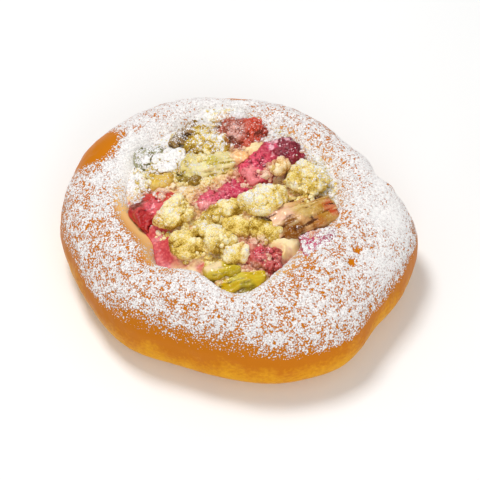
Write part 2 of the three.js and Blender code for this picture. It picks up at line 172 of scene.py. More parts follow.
# Places strewn with loose crumbs: x, y, spread, number
CRUMB_SPOTS = [
    (-22.5, -10.5, 2.4, 44), (-9.0, 6.5, 1.8, 16), (-13.0, -11.5, 3.0, 40), (-3.5, -17.0, 3.0, 30),
    (7.0, -16.5, 2.2, 20), (9.5, 9.0, 1.8, 50), (-9.0, -20.0, 3.0, 50), (13.5, 3.5, 3.0, 50),
    (19.5, 1.5, 3.5, 50), (-2.0, -3.0, 2.4, 8), (-15.0, -4.0, 2.6, 50), (9.0, -23.0, 1.6, 10),
    (27.5, 7.0, 4.0, 110), (25.0, 16.5, 3.4, 90), (14.5, 30.0, 3.0, 40), (-6.0, 33.0, 4.0, 40),
    (-13.0, 17.0, 3.0, 30), (-30.0, 8.0, 3.0, 40), (24.0, -13.5, 2.4, 10),
    (-24.0, 3.0, 2.0, 24),
]

# Where the curd stays smooth: x, y, radius, and how far it bulges there
SMOOTH_CURD = [(6.5, 19.5, 5, 1.7), (15.5, -17.0, 6, 1.4), (-24.0, -12.0, 5, 0), (-20.0, -20.0, 5, 0),
               (-11.0, -26.0, 5, 0.4)]

# Share of the dough that the icing sugar covers, added to POWDER_EVERYWHERE: angle, place between the
# pocket at 0 and the outline at 1, half widths of both, amount
POWDER_EVERYWHERE = 0.69
POWDER_SPREAD = 0.115  # standard deviation of the patches and the fine noise together
PATCH_DEPTH = 0.14
POWDER_SPOTS = [
    (-162, 0.06, 23, 0.28, -1.10), (-138, 0.12, 20, 0.34, -0.42), (-168, 0.62, 40, 0.40, -0.10),
    (154, 0.68, 13, 0.46, -2.20), (150, 0.10, 34, 0.30, 0.40),
    (-60, 0.26, 20, 0.24, -0.22), (-60, 0.42, 12, 0.16, -0.12), (0, 0.55, 52, 0.60, 0.30),
    (96, 0.35, 66, 0.60, 0.24), (91, 0.60, 9, 0.24, -1.10), (52, 0.66, 14, 0.24, -0.34),
    (-30, 0.50, 3, 0.10, -0.80), (-36, 0.56, 3, 0.08, -0.80), (-98, 0.30, 34, 0.34, 0.16),
    (8, 0.75, 4, 0.10, -0.85), (175, 0.40, 24, 0.30, 0.16), (-30, 0.80, 20, 0.24, 0.10),
    (-88, 0.0, 26, 0.12, -0.50),
]

# Where the outline stands out or in from its even waves: angle, half width, distance
OUTLINE_BULGES = [
    (-4, 15, 1.1), (15, 10, -2.8), (34, 16, -1.3), (66, 12, 0.5), (-36, 12, -0.5), (-54, 16, 1.4),
    (180, 18, 0.7), (-132, 18, 0.8), (-112, 12, -0.4), (152, 12, 0.4),
]

# Swellings and creases of the dough: angle, place, half widths, height
DOUGH_MARKS = [
    (8, 0.74, 4.5, 0.10, 0.8), (12.5, 0.74, 3, 0.10, -0.5), (178, 0.90, 3, 0.14, -0.9),
    (-37, 0.55, 4, 0.10, -0.7), (-29, 0.48, 4, 0.10, -0.6), (-134, 0.30, 5, 0.30, -0.5),
    (-37, 0.12, 16, 0.24, 1.2),
]

# The stage, in metres: what the camera and the lamps look at, the places of the lamps and their widths
AIM = Vector((0.00067, -0.00258, 0.015))
KEY_PLACE, KEY_SIZE = (-0.17, 0.18, 0.70), 0.2
FILL_PLACE, FILL_SIZE = (0.15, -0.62, 0.36), 0.5
BOARD = 1500  # half the width of the board, in millimetres


# ---- Numbers -------------------------------------------------------------------------------------------

# Axes that lie aslant, so that no grain lines up with the bun's own axes
ASKEW = np.linalg.qr(np.array([[1.0, 0.6, 0.3], [-0.5, 1.0, 0.4], [-0.2, -0.6, 1.0]]))[0]


def linear(code):
    """The linear colour of an sRGB hex code, with full opacity."""
    channels = [int(code[i:i + 2], 16) / 255 for i in (1, 3, 5)]
    return (*[c / 12.92 if c <= 0.04045 else ((c + 0.055) / 1.055) ** 2.4 for c in channels], 1.0)


def smoothstep(value, low, high):
    """0 below low, 1 above high and smooth between them."""
    part = np.clip((value - low) / (high - low), 0, 1)
    return part * part * (3 - 2 * part)


def lattice(cells, seed):
    """One steady random number from -1 to 1 for each whole-numbered cell."""
    mixed = (cells @ np.array([73856093, 19349663, 83492791]) + seed * 374761393) & 0xFFFFFFFF
    mixed = ((mixed ^ (mixed >> 13)) * 1274126177) & 0xFFFFFFFF
    return ((mixed ^ (mixed >> 16)) & 0xFFFF) / 32767.5 - 1


def lumpy(points, size, seed):
    """Smooth noise from -1 to 1. Its features have the given size, one number or one for each axis."""
    scaled = points / size
    low = np.floor(scaled).astype(np.int64)
    part = scaled - low
    part = part * part * (3 - 2 * part)
    total = np.zeros(len(points))
    for corner in np.ndindex(2, 2, 2):
        weight = np.prod(np.where(corner, part, 1 - part), axis=1)
        total += weight * lattice(low + corner, seed)
    return total


def cells(points, size, seed, angular=False):
    """Grainy relief: 1 at the middle of a grain, falling to 0 halfway to the next ones. Angular grains have
    flat faces and sharp edges."""
    scaled = points @ ASKEW / size
    home = np.floor(scaled).astype(np.int64)
    nearest = np.full(len(points), 9.0)
    for step in np.ndindex(3, 3, 3):
        cell = home + np.array(step) - 1
        seat = np.stack([lattice(cell, seed + axis) for axis in range(3)], axis=1)
        away = np.abs(cell + 0.5 + 0.45 * seat - scaled)
        nearest = np.minimum(nearest, away.max(axis=1) if angular else np.linalg.norm(away, axis=1))
    return np.clip(1 - nearest / 0.8, 0, 1)


def even_noise(points, size, seed):
    """Noise whose values are spread evenly from 0 to 1, so that a share of it lies above 1 - share."""
    rough = lumpy(points, size, seed) + 0.55 * lumpy(points, 0.5 * size, seed + 1)
    return 1 / (1 + np.exp(-4.6 * rough))


def sieved(points, cover, patch, seed):
    """The powder mark: how far icing sugar goes up from 0 where it covers half, by the share that it
    covers and patches of a size in millimetres. The material adds the fine noise."""
    cover = np.clip(cover, 0.004, 0.996)
    patches = even_noise(points, patch, seed) - 0.5
    return POWDER_SPREAD * np.log(cover / (1 - cover)) / 1.65 + PATCH_DEPTH * patches


def waved(mean, waves, angle):
    """A mean value with slow waves round the bun: size, number of crests, angle of a crest."""
    return mean + sum(size * np.cos(count * (angle - math.radians(crest))) for size, count, crest in waves)


def bump(angle, middle, half_width):
    """1 at the middle angle, falling smoothly to 0 at the half width on either side."""
    offset = (angle - math.radians(middle) + np.pi) % (2 * np.pi) - np.pi
    return 0.5 + 0.5 * np.cos(np.pi * np.minimum(np.abs(offset) / math.radians(half_width), 1))


def pocket_radius(angle):
    """Distance of the pocket's edge from the middle: its corners joined by a smooth closed line."""
    corners = np.array(POCKET_CORNERS, float)
    around = np.radians(np.concatenate([corners[-2:, 0] - 360, corners[:, 0], corners[:2, 0] + 360]))
    out = np.concatenate([corners[-2:, 1], corners[:, 1], corners[:2, 1]])
    slope = np.gradient(out, around)
    wrapped = (angle + np.pi) % (2 * np.pi) - np.pi
    i = np.clip(np.searchsorted(around, wrapped) - 1, 0, len(around) - 2)
    gap = around[i + 1] - around[i]
    t = (wrapped - around[i]) / gap
    start = (2 * t**3 - 3 * t**2 + 1) * out[i] + (t**3 - 2 * t**2 + t) * gap * slope[i]
    end = (3 * t**2 - 2 * t**3) * out[i + 1] + (t**3 - t**2) * gap * slope[i + 1]
    return start + end


def outline_radius(angle):
    """Distance of the bun's outline from the middle."""
    return waved(BUN_RADIUS, OUTLINE_WAVES, angle)


def curd_height(angle, share):
    """Height of the curd at a share of the way from the middle to its edge."""
    tilt = CURD_TILT * share * np.cos(angle - math.radians(CURD_HIGH_SIDE))
    return CURD_LEVEL + tilt + CURD_DOME * (1 - share**2)


# ---- Meshes --------------------------------------------------------------------------------------------


def mesh_object(name, points, faces, marks=None, smooth=True):
    """A new object in the scene from points in millimetres and an array of faces with equal corners.
    marks are numbers for each point, kept under their names for the materials."""
    mesh = bpy.data.meshes.new(name)
    faces = np.asarray(faces)
    mesh.vertices.add(len(points))
    mesh.vertices.foreach_set("co", (np.asarray(points) * MM).astype(np.float32).ravel())
    mesh.loops.add(faces.size)
    mesh.loops.foreach_set("vertex_index", faces.astype(np.int32).ravel())
    mesh.polygons.add(len(faces))
    starts = np.arange(len(faces), dtype=np.int32) * faces.shape[1]
    mesh.polygons.foreach_set("loop_start", starts)
    mesh.update(calc_edges=True)
    mesh.validate()
    mesh.polygons.foreach_set("use_smooth", np.full(len(mesh.polygons), smooth))
    made = bpy.data.objects.new(name, mesh)
    bpy.context.scene.collection.objects.link(made)
    for mark, values in (marks or {}).items():
        set_mark(made, mark, values)
    return made


def set_mark(piece, name, values):
    """Keeps one number for each point of a piece, for its material to read."""
    mark = piece.data.attributes.get(name) or piece.data.attributes.new(name, "FLOAT", "POINT")
    mark.data.foreach_set("value", np.asarray(values, np.float32))


def read_all(items, key, width=1):
    """A row of numbers from each point or face of a mesh."""
    values = np.zeros(width * len(items), np.float32)
    items.foreach_get(key, values)
    return values.reshape(-1, width)


def get_mark(piece, name):
    """The numbers that set_mark kept."""
    return read_all(piece.data.attributes[name].data, "value")[:, 0]


def set_colour(piece, name, colours):
    """Keeps one linear colour for each point of a piece, for its material to read."""
    tint = piece.data.attributes.new(name, "FLOAT_COLOR", "POINT")
    tint.data.foreach_set("color", np.asarray(colours, np.float32).ravel())


def points_of(piece):
    """The places of a piece's points, in millimetres."""
    return read_all(piece.data.vertices, "co", 3).astype(float) / MM


def normals_of(piece):
    """The directions in which a piece's skin faces at its points."""
    return read_all(piece.data.vertices, "normal", 3).astype(float)


def move_points(piece, points):
    """Puts a piece's points at new places, in millimetres."""
    piece.data.vertices.foreach_set("co", (points * MM).astype(np.float32).ravel())
    piece.data.update()


def from_rings(rings, angle):
    """The radii of rings round the middle and the points on them, from the radius and height of each."""
    radius, height = (np.array([ring[i] for ring in rings]) for i in range(2))
    x, y = MIDDLE[0] + radius * np.cos(angle), MIDDLE[1] + radius * np.sin(angle)
    return radius, np.stack([x, y, height], axis=-1)


def ring_faces(rows, sides):
    """Quads between neighbouring rings, for points stored ring by ring."""
    ring, side = np.meshgrid(np.arange(rows - 1), np.arange(sides), indexing="ij")
    following = (side + 1) % sides
    corners = [ring * sides + side, ring * sides + following,
               (ring + 1) * sides + following, (ring + 1) * sides + side]
    return np.stack(corners, axis=-1).reshape(-1, 4)


def fine_copy(node, name, voxel, rounds):
    """A finely meshed copy of a CAD node. Its facets are smoothed away."""
    copy = bpy.data.objects.new(name, frame["nodes"][node].data.copy())
    bpy.context.scene.collection.objects.link(copy)
    skin = copy.modifiers.new("Fine skin", "REMESH")
    skin.mode = "VOXEL"
    skin.voxel_size = voxel * MM
    soften = copy.modifiers.new("Soften", "SMOOTH")
    soften.factor = 0.5
    soften.iterations = rounds
    graph = bpy.context.evaluated_depsgraph_get()
    fine = bpy.data.meshes.new_from_object(copy.evaluated_get(graph))
    copy.modifiers.clear()
    copy.data = fine
    fine.name = name
    fine.materials.clear()
    fine.polygons.foreach_set("use_smooth", np.full(len(fine.polygons), True))
    fine.update()
    return copy


def rise_of(points):
    """How high each point of a piece lies, from 0 at its lowest to 1 at its highest."""
    return (points[:, 2] - points[:, 2].min()) / np.ptp(points[:, 2])


def long_axes(points):
    """The three axes along which a piece is longest, next longest and shortest, as rows."""
    return np.linalg.svd(points - points.mean(axis=0), full_matrices=False)[2]


def tree_of(pieces):
    """A search tree over the faces of several pieces, in millimetres."""
    places, faces, count = [], [], 0
    for piece in pieces:
        places.extend(Vector(p) for p in points_of(piece))
        faces.extend([corner + count for corner in face.vertices] for face in piece.data.polygons)
        count += len(piece.data.vertices)
    return BVHTree.FromPolygons(places, faces)


def finish_piece(piece, slot, material, *nodes):
    """Gives a piece its material and lets it ride, in place of the CAD nodes it stands for. The slot is not
    used.
    """
    piece.data.materials.clear()
    piece.data.materials.append(material)
    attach(piece, "root")
    if nodes:
        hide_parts(*nodes)


# ---- Materials -----------------------------------------------------------------------------------------


def add(tree, kind, inputs=(), stops=None, **settings):
    """Adds a shader node. inputs are its sockets by name or number, each a value or a socket to link;
    stops are a colour ramp's places and colours. Returns the node's outputs."""
    made = tree.nodes.new("ShaderNode" + kind)
    for name, value in settings.items():
        setattr(made, name, value)
    for socket, value in dict(inputs).items():
        if isinstance(value, bpy.types.NodeSocket):
            tree.links.new(value, made.inputs[socket])
        else:
            made.inputs[socket].default_value = value
    if stops:
        ramp = made.color_ramp.elements
        while len(ramp) < len(stops):
            ramp.new(0.5)
        for element, (place, colour) in zip(ramp, stops):
            element.position = place
            element.color = colour
    return made.outputs


def blank(name):
    """A new material, its empty node tree and the place on the piece that its patterns go by."""
    material = bpy.data.materials.new(name)
    material.use_nodes = True
    tree = material.node_tree
    tree.nodes.clear()
    return material, tree, add(tree, "TexCoord")["Object"]


def finish_material(tree, settings):
    """Ends a material with its shader."""
    shader = add(tree, "BsdfPrincipled", settings)[0]
    add(tree, "OutputMaterial", {"Surface": shader})


def finish_dusted(tree, dusting, skin, settings, strength=0.6, depth=0.25):
    """Ends a material that icing sugar lies on: the sugar's relief over the skin's own, then the shader."""
    colour, dull, lace = dusting
    relief = add(tree, "Bump", {"Strength": strength, "Distance": depth * MM, "Height": lace,
                                "Normal": skin})[0]
    finish_material(tree, {"Base Color": colour, "Roughness": dull, "Normal": relief, **settings})


def per(size):
    """The scale of a texture whose features are to have a size in millimetres."""
    return 1 / (size * MM)


LACE_FROM = 0.49  # level of the powder mark and noise at which sugar begins to show
SHARP_EDGE, SOFT_EDGE = 0.03, 0.1  # how much higher the level is where it is full: on crust, on moist skin
FULL_COVER = 0.95  # how much of the colour below full sugar hides
POWDER_ROUGHNESS = 0.9


def powdered(tree, colour, roughness, place, sugar, edge=SHARP_EDGE):
    """Icing sugar over a colour, where the powder mark and fine noise together pass LACE_FROM. Returns the
    colour, the roughness and the lace, which also serves as relief. Grains of 0.01 mm are too fine to
    show, so the lace is drawn at the 0.6 mm of the smallest clumps. It thins out over an edge."""
    sifted = add(tree, "Attribute", attribute_name="powder")["Fac"]
    fine = add(tree, "TexNoise", {"Vector": place, "Scale": per(0.5), "Detail": 1.0})["Fac"]
    hollows = add(tree, "TexVoronoi", {"Vector": place, "Scale": per(0.62)})["Distance"]
    grains = add(tree, "Math", {0: hollows, 1: -0.42, 2: 0.47}, operation="MULTIPLY_ADD")[0]
    mixed = add(tree, "Math", {0: fine, 1: 0.5, 2: grains}, operation="MULTIPLY_ADD")[0]
    level = add(tree, "Math", {0: mixed, 1: sifted})[0]
    mask = add(tree, "MapRange", {"Value": level, "From Min": LACE_FROM, "From Max": LACE_FROM + edge},
               interpolation_type="SMOOTHSTEP")[0]
    whiteness = add(tree, "Math", {0: mask, 1: FULL_COVER}, operation="MULTIPLY")[0]
    # Painted shade: the sugar's colour greys between its grains and where it lies thin
    thick = add(tree, "MapRange", {"Value": level, "From Min": 0.5, "From Max": 0.7})[0]
    lit = add(tree, "Math", {0: hollows, 1: -0.9, 2: thick}, operation="MULTIPLY_ADD")[0]
    white = add(tree, "ValToRGB", {"Fac": lit},
                stops=[(0.0, linear("#d8d0cf")), (0.45, sugar)])["Color"]
    dusted = add(tree, "Mix", {0: whiteness, 6: colour, 7: white}, data_type="RGBA")[2]
    dull = add(tree, "Mix", {0: whiteness, 2: roughness, 3: POWDER_ROUGHNESS}, data_type="FLOAT")[0]
    heaps = add(tree, "Math", {0: hollows, 1: -0.6, 2: 1.0}, operation="MULTIPLY_ADD")[0]
    relief = add(tree, "Math", {0: heaps, 1: mask}, operation="MULTIPLY")[0]
    return dusted, dull, relief


def baked_crust(look, sugar):
    """Egg-washed yeast crust, baked golden at the foot and browner above: satin, with fine wrinkles, and
    paler where the dough rolls in under the filling."""
    material, tree, place = blank("Egg-washed baked crust")
    browning, pale = (add(tree, "Attribute", attribute_name=mark)["Fac"] for mark in ("browning", "pale"))
    clouds = add(tree, "TexNoise",
                 {"Vector": place, "Scale": per(9), "Detail": 5.0, "Roughness": 0.6})["Fac"]
    freckles, wrinkles = (
        add(tree, "TexNoise", {"Vector": place, "Scale": per(size), "Detail": detail})["Fac"]
        for size, detail in ((1.1, 3.0), (0.7, 4.0)))
    shift = add(tree, "Math", {0: clouds, 1: 0.9, 2: browning}, operation="MULTIPLY_ADD")[0]
    mottled = add(tree, "Math", {0: freckles, 1: 0.7, 2: shift}, operation="MULTIPLY_ADD")[0]
    tone = add(tree, "Math", {0: mottled, 1: 0.8}, operation="SUBTRACT")[0]
    crust = add(tree, "ValToRGB", {"Fac": tone}, stops=[
        (0.0, tuple(look.foot_colour)), (0.5, tuple(look.side_colour)),
        (1.0, tuple(look.top_colour))])["Color"]
    soft = add(tree, "Mix", {0: pale, 6: crust, 7: tuple(look.pale_colour)}, data_type="RGBA")[2]
    dusting = powdered(tree, soft, look.roughness, place, sugar)
    skin = add(tree, "Bump", {"Strength": 0.18, "Distance": 0.15 * MM, "Height": wrinkles})[0]
    finish_dusted(tree, dusting, skin, {"IOR": 1.45, "Specular IOR Level": 0.08}, 0.8, 0.3)
    return material


def set_curd(look, sugar):
    """Curd set in the oven: smooth, moist and faintly translucent, stained pink by the rhubarb's juice and
    strewn with fine crumbs where it isn't smooth."""
    material, tree, place = blank("Oven-set curd")
    stain, crumbly = (add(tree, "Attribute", attribute_name=mark)["Fac"] for mark in ("stain", "crumbly"))
    clouds, fine = (add(tree, "TexNoise", {"Vector": place, "Scale": per(size), "Detail": detail})["Fac"]
                    for size, detail in ((3.5, 5.0), (0.9, 3.0)))
    custard = add(tree, "ValToRGB", {"Fac": clouds}, stops=[
        (0.3, linear("#f0c888")), (0.5, tuple(look.custard_colour)), (0.72, linear("#fcecc0"))])["Color"]
    sandy = add(tree, "ValToRGB", {"Fac": fine}, stops=[
        (0.32, linear("#c48c44")), (0.48, tuple(look.sandy_colour)), (0.66, linear("#fae8bc"))])["Color"]
    plain = add(tree, "Mix", {0: crumbly, 6: custard, 7: sandy}, data_type="RGBA")[2]
    juice = add(tree, "ValToRGB", {"Fac": fine}, stops=[
        (0.3, linear("#b02c34")), (0.52, tuple(look.juice_colour)), (0.72, linear("#e4706a"))])["Color"]
    edge = add(tree, "Math", {0: clouds, 1: 0.9, 2: stain}, operation="MULTIPLY_ADD")[0]
    soaked = add(tree, "MapRange", {"Value": edge, "From Min": 0.85, "From Max": 1.25},
                 interpolation_type="SMOOTHSTEP")[0]
    base = add(tree, "Mix", {0: soaked, 6: plain, 7: juice}, data_type="RGBA")[2]
    dusting = powdered(tree, base, look.roughness, place, sugar, SOFT_EDGE)
    grit = add(tree, "Bump", {"Strength": 0.4, "Distance": 0.2 * MM, "Height": fine})[0]
    finish_dusted(tree, dusting, grit, {"IOR": 1.45, "Subsurface Weight": 0.2, "Subsurface Scale": 1.2 * MM,
                                        "Subsurface Radius": (1.0, 0.6, 0.4)})
    return material


def stewed_stalk(name, shade, fibre, grainy, juice, look, sugar):
    """Rhubarb baked soft: wet and glossy, its flesh streaked lengthwise by paler fibres and broken into
    juicy grains. It is darker in random blotches, with painted shade in the crevices, grooves and low down,
    and painted light on the middles and crests of the grains. juice is how wet its skin is."""
    material, tree, place = blank("Baked rhubarb " + name.split("_")[1])
    flesh = add(tree, "Attribute", attribute_name="flesh")["Color"]
    streak, depth = (add(tree, "Attribute", attribute_name=mark)["Fac"] for mark in ("streak", "depth"))
    blotches = add(tree, "TexNoise", {"Vector": place, "Scale": per(2.2), "Detail": 5.0})["Fac"]
    grains = add(tree, "TexVoronoi", {"Vector": place, "Scale": per(0.7)})["Distance"]
    # Painted shade: the depth mark and the crevices between grains darken the flesh towards the shade colour,
    # as do random blotches
    low = add(tree, "Math", {0: blotches, 1: 1.1, 2: depth}, operation="MULTIPLY_ADD")[0]
    between = add(tree, "Math", {0: grains, 1: 0.9 * grainy, 2: low}, operation="MULTIPLY_ADD")[0]
    blotches_and_painted_shade = add(tree, "MapRange", {"Value": between, "From Min": 0.62 + 0.36 * grainy,
                                            "From Max": 1.15 + 0.36 * grainy},
               interpolation_type="SMOOTHSTEP")[0]
    pulp = add(tree, "Mix", {0: blotches_and_painted_shade, 6: flesh, 7: linear(shade)}, data_type="RGBA")[2]
    # Painted light: the middle of each grain and the crests in the streak mark turn paler towards the fibre
    # colour, with the real fibres
    painted_grain_light = add(tree, "MapRange", {"Value": grains, "From Min": 0.4, "From Max": 0.0,
                                            "To Max": 0.3 + 0.5 * grainy})[0]
    lit = add(tree, "Math", {0: streak, 1: 0.8, 2: painted_grain_light}, operation="MULTIPLY_ADD",
              use_clamp=True)[0]
    light = add(tree, "Math", {0: lit, 1: 0.8}, operation="MULTIPLY")[0]
    base = add(tree, "Mix", {0: light, 6: pulp, 7: linear(fibre)}, data_type="RGBA")[2]
    dusting = powdered(tree, base, look.roughness, place, sugar, SOFT_EDGE)
    juicy = add(tree, "Bump", {"Strength": 0.35, "Distance": 0.3 * MM, "Height": grains},
                invert=True)[0]
    finish_dusted(tree, dusting, juicy, {
        "IOR": 1.38, "Coat Weight": juice, "Coat Roughness": 0.05, "Coat IOR": 1.36,
        "Subsurface Weight": 0.12, "Subsurface Radius": (1.0, 0.4, 0.3), "Subsurface Scale": 0.9 * MM})
    return material


def butter_crumble(look, sugar):
    """Butter, flour and sugar rubbed into crumbs and baked: dry and sandy, with painted light on the crests
    and high up, and painted shade, golden to olive, in the cracks and low down."""
    material, tree, place = blank("Baked butter crumble")
    crag, juice = (add(tree, "Attribute", attribute_name=mark)["Fac"] for mark in ("crag", "juice"))
    patches, sand = (add(tree, "TexNoise", {"Vector": place, "Scale": per(size), "Detail": detail})["Fac"]
                     for size, detail in ((3.2, 4.0), (0.4, 2.0)))
    # Painted light and shade: the crag mark makes crests and tops paler and cracks and low parts darker; the
    # patches are random tone
    patches_and_shade = add(tree, "Math", {0: patches, 1: 0.9, 2: crag}, operation="MULTIPLY_ADD")[0]
    grainy = add(tree, "Math", {0: sand, 1: 1.1, 2: patches_and_shade}, operation="MULTIPLY_ADD")[0]
    tone = add(tree, "Math", {0: grainy, 1: 1.0}, operation="SUBTRACT")[0]
    dry = add(tree, "ValToRGB", {"Fac": tone}, stops=[
        (0.05, tuple(look.crack_shade_colour)), (0.45, tuple(look.crumb_colour)),
        (0.85, tuple(look.lit_crest_colour))])["Color"]
    damp = add(tree, "ValToRGB", {"Fac": tone}, stops=[
        (0.05, linear("#a8583c")), (0.45, linear("#dc9c84")), (0.85, linear("#f6d8bc"))])["Color"]
    base = add(tree, "Mix", {0: juice, 6: dry, 7: damp}, data_type="RGBA")[2]
    dusting = powdered(tree, base, look.roughness, place, sugar, SOFT_EDGE)
    gritty = add(tree, "Bump", {"Strength": 0.55, "Distance": 0.2 * MM, "Height": sand})[0]
    finish_dusted(tree, dusting, gritty, {
        "IOR": 1.45, "Specular IOR Level": 0.2,
        "Subsurface Weight": 0.1, "Subsurface Radius": (1.0, 0.6, 0.25), "Subsurface Scale": 1.0 * MM})
    return material


def icing_sugar(look):
    """Sieved icing sugar: a matt white powder in soft clumps, a touch greyer where a clump is damp."""
    material, tree, place = blank("Sieved icing sugar")
    damp = add(tree, "TexNoise", {"Vector": place, "Scale": per(0.9), "Detail": 2.0})["Fac"]
    colour = add(tree, "ValToRGB", {"Fac": damp}, stops=[
        (0.32, linear("#e8e3e1")), (0.55, tuple(look.sugar_colour))])["Color"]
    finish_material(tree, {
        "Base Color": colour, "Roughness": 0.92, "IOR": 1.5,
        "Subsurface Weight": 0.2, "Subsurface Radius": (1.0, 1.0, 1.0), "Subsurface Scale": 0.3 * MM})
    return material


def matt_board():
    """The smooth white board that the bun stands on: matt, with the faintest unevenness."""
    material, tree, place = blank("Matt white board")
    haze = add(tree, "TexNoise", {"Vector": place, "Scale": per(120), "Detail": 2.0})["Fac"]
    colour = add(tree, "ValToRGB", {"Fac": haze}, stops=[
        (0.3, linear("#f6f6f5")), (0.7, linear("#fafaf9"))])["Color"]
    finish_material(tree, {"Base Color": colour, "Roughness": 0.8})
    return material


# ---- Pieces --------------------------------------------------------------------------------------------


def spots_at(spots, angle, share):
    """Sum of soft spots on the dough: angle, place between pocket and outline, half widths, amount."""
    total = np.zeros(angle.shape)
    for middle, place, half_width, depth, amount in spots:
        across = 0.5 + 0.5 * np.cos(np.pi * np.clip(np.abs(share - place) / depth, 0, 1))
        total += amount * bump(angle, middle, half_width) * across
    return total


def powder_on_dough(angle, share, lean):
    """Share of the dough that icing sugar covers. lean is the upward part of the skin's direction: nothing
    stays on the steep side, but the slope into the pocket holds it."""
    cover = POWDER_EVERYWHERE + spots_at(POWDER_SPOTS, angle, share)
    inside, outside = smoothstep(lean, -0.1, 0.3), smoothstep(lean, 0.13, 0.50)
    return cover * np.where(share < CREST_SHARE, inside, outside)


def smooth_rings(values, around, along):
    """Soft version of numbers stored ring by ring: around is a half width in sides, along in rings."""
    waves = np.fft.rfft(values, axis=1)
    order = np.arange(waves.shape[1]) / (values.shape[1] / around)
    fade = np.exp(-0.5 * (2 * np.pi * order) ** 2)
    soft = np.fft.irfft(waves * fade[None, :, None], n=values.shape[1], axis=1)
    for _ in range(along):
        padded = np.concatenate([soft[:1], soft, soft[-1:]])
        soft = 0.25 * padded[:-2] + 0.5 * padded[1:-1] + 0.25 * padded[2:]
    return soft


def dough_rings(angle):
    """Points and share of the way out for each ring of the dough's skin, from the middle of the base round
    the side and over the rim to the pocket's floor."""
    outline = outline_radius(angle)
    pocket = pocket_radius(angle)
    crest = pocket + (outline - pocket) * CREST_SHARE
    top = waved(CREST_HEIGHT, CREST_WAVES, angle)
    edge = curd_height(angle, 1)
    gentle = np.max([amount * bump(angle, *arc) for *arc, amount in GENTLE_SLOPES], axis=0)
    power = LIP_STEEPNESS ** (1 - gentle)
    level = np.zeros_like(angle)
    rings = [(share * (outline - FOOT_INSET), level) for share in np.linspace(0.02, 0.97, 3)]
    for turn in np.linspace(1, 0.06, 16):
        inset, drop = 1 - math.cos(0.5 * math.pi * turn), math.sin(0.5 * math.pi * turn)
        rings.append((outline - FOOT_INSET * inset, level + BELLY_HEIGHT * (1 - drop)))
    for turn in np.linspace(0, 1, 66):
        inset, rise = 1 - math.cos(0.5 * math.pi * turn), math.sin(0.5 * math.pi * turn)
        rings.append((outline - (outline - crest) * inset, BELLY_HEIGHT + (top - BELLY_HEIGHT) * rise))
    for share in np.linspace(0.97, 0, 30) ** 1.3:
        rise = 1 - (1 - share) ** power
        rings.append((pocket + (crest - pocket) * share, edge + (top - edge) * rise))
    for share in (0.5, 1):
        rings.append((pocket - share * POCKET_WALL, edge + (POCKET_FLOOR + 4 - edge) * share))
    rings.extend((share * (pocket - 3 * POCKET_WALL), level + POCKET_FLOOR) for share in (1, 0.5, 0.02))
    radius, points = from_rings(rings, angle)
    return points, (radius - pocket) / (outline - pocket)


def lay_swells(points, share):
    """Moves the rim of smooth rings onto the CAD dough, whose swells they lack, without its facets."""
    rings, sides, _ = points.shape
    dough = tree_of([frame["nodes"]["dough"]])
    flat = points.reshape(-1, 3)
    offsets = np.array([np.array(dough.find_nearest(Vector(p))[0]) - p for p in flat])
    soft = smooth_rings(offsets.reshape(points.shape), sides / 70, 10)
    out = np.hypot(points[..., 0] - MIDDLE[0], points[..., 1] - MIDDLE[1])
    onto = smoothstep(out, SWELLS_FROM, SWELLS_FULL) * smoothstep(points[..., 2], 0, BELLY_HEIGHT)
    return points + soft * (onto * (share > CREST_SHARE * 0.5))[..., None]


def make_crust(look, sugar):
    """The dough: one skin of fine rings with the swells of the solid, wrinkles and soft browning."""
    angle = np.linspace(-np.pi, np.pi, CRUST_SIDES, endpoint=False)
    points, share = dough_rings(angle)
    points = lay_swells(points, share)
    bulge = sum(size * bump(angle, middle, half_width) for middle, half_width, size in OUTLINE_BULGES)
    outwards = np.stack([np.cos(angle), np.sin(angle), 0 * angle], axis=-1)
    points += (smoothstep(share, 0.4, 0.95) * bulge)[..., None] * outwards
    crust = mesh_object("bun_crust", points.reshape(-1, 3), ring_faces(*share.shape))
    close_ends(crust, share.shape)
    places, facing = points_of(crust), normals_of(crust)
    around, out = np.tile(angle, len(share)), share.ravel()
    above = smoothstep(places[:, 2], 2, 9)
    inner = 1 - smoothstep(out, CREST_SHARE * 0.4, CREST_SHARE * 1.3)
    cover = powder_on_dough(around, np.clip(out, 0, 1.2), facing[:, 2]) * (1 + 0.14 * lumpy(places, 5, 6))
    lace = sieved(places, cover, 1.2, 21)
    lumps = 0.28 * lumpy(places, 6, 3) + 0.12 * lumpy(places, 2.4, 4) + spots_at(DOUGH_MARKS, around, out)
    drift = look.powder_relief * smoothstep(lace, -0.1, 0.15)
    move_points(crust, places + facing * (above * (1 - 0.6 * inner) * lumps + drift)[:, None])
    foot_to_top = smoothstep(places[:, 2], 1, 27) + 0.12 * lumpy(places, 14, 8)
    set_mark(crust, "browning", np.clip(foot_to_top - 0.35 * inner, 0, 1))
    west = 0.2 + 0.8 * np.maximum(bump(around, -162, 55), bump(around, -86, 45))
    rolled_in = 1 - smoothstep(out, 0.04, 0.30)
    set_mark(crust, "pale", np.clip(rolled_in * (west + 0.15 * lumpy(places, 5, 9)), 0, 1))
    set_mark(crust, "cover", np.clip(cover, 0, 1))
    set_mark(crust, "powder", lace)
    finish_piece(crust, "crust", baked_crust(look, sugar), "dough")


def close_ends(piece, shape):
    """Closes the first and the last ring of a piece with a flat face each."""
    rings, sides = shape
    mesh = piece.data
    shell = bmesh.new()
    shell.from_mesh(mesh)
    shell.verts.ensure_lookup_table()
    shell.faces.new([shell.verts[i] for i in range(sides)][::-1])
    shell.faces.new([shell.verts[(rings - 1) * sides + i] for i in range(sides)])
    bmesh.ops.recalc_face_normals(shell, faces=shell.faces)
    shell.to_mesh(mesh)
    shell.free()
    mesh.polygons.foreach_set("use_smooth", np.full(len(mesh.polygons), True))
    mesh.update()


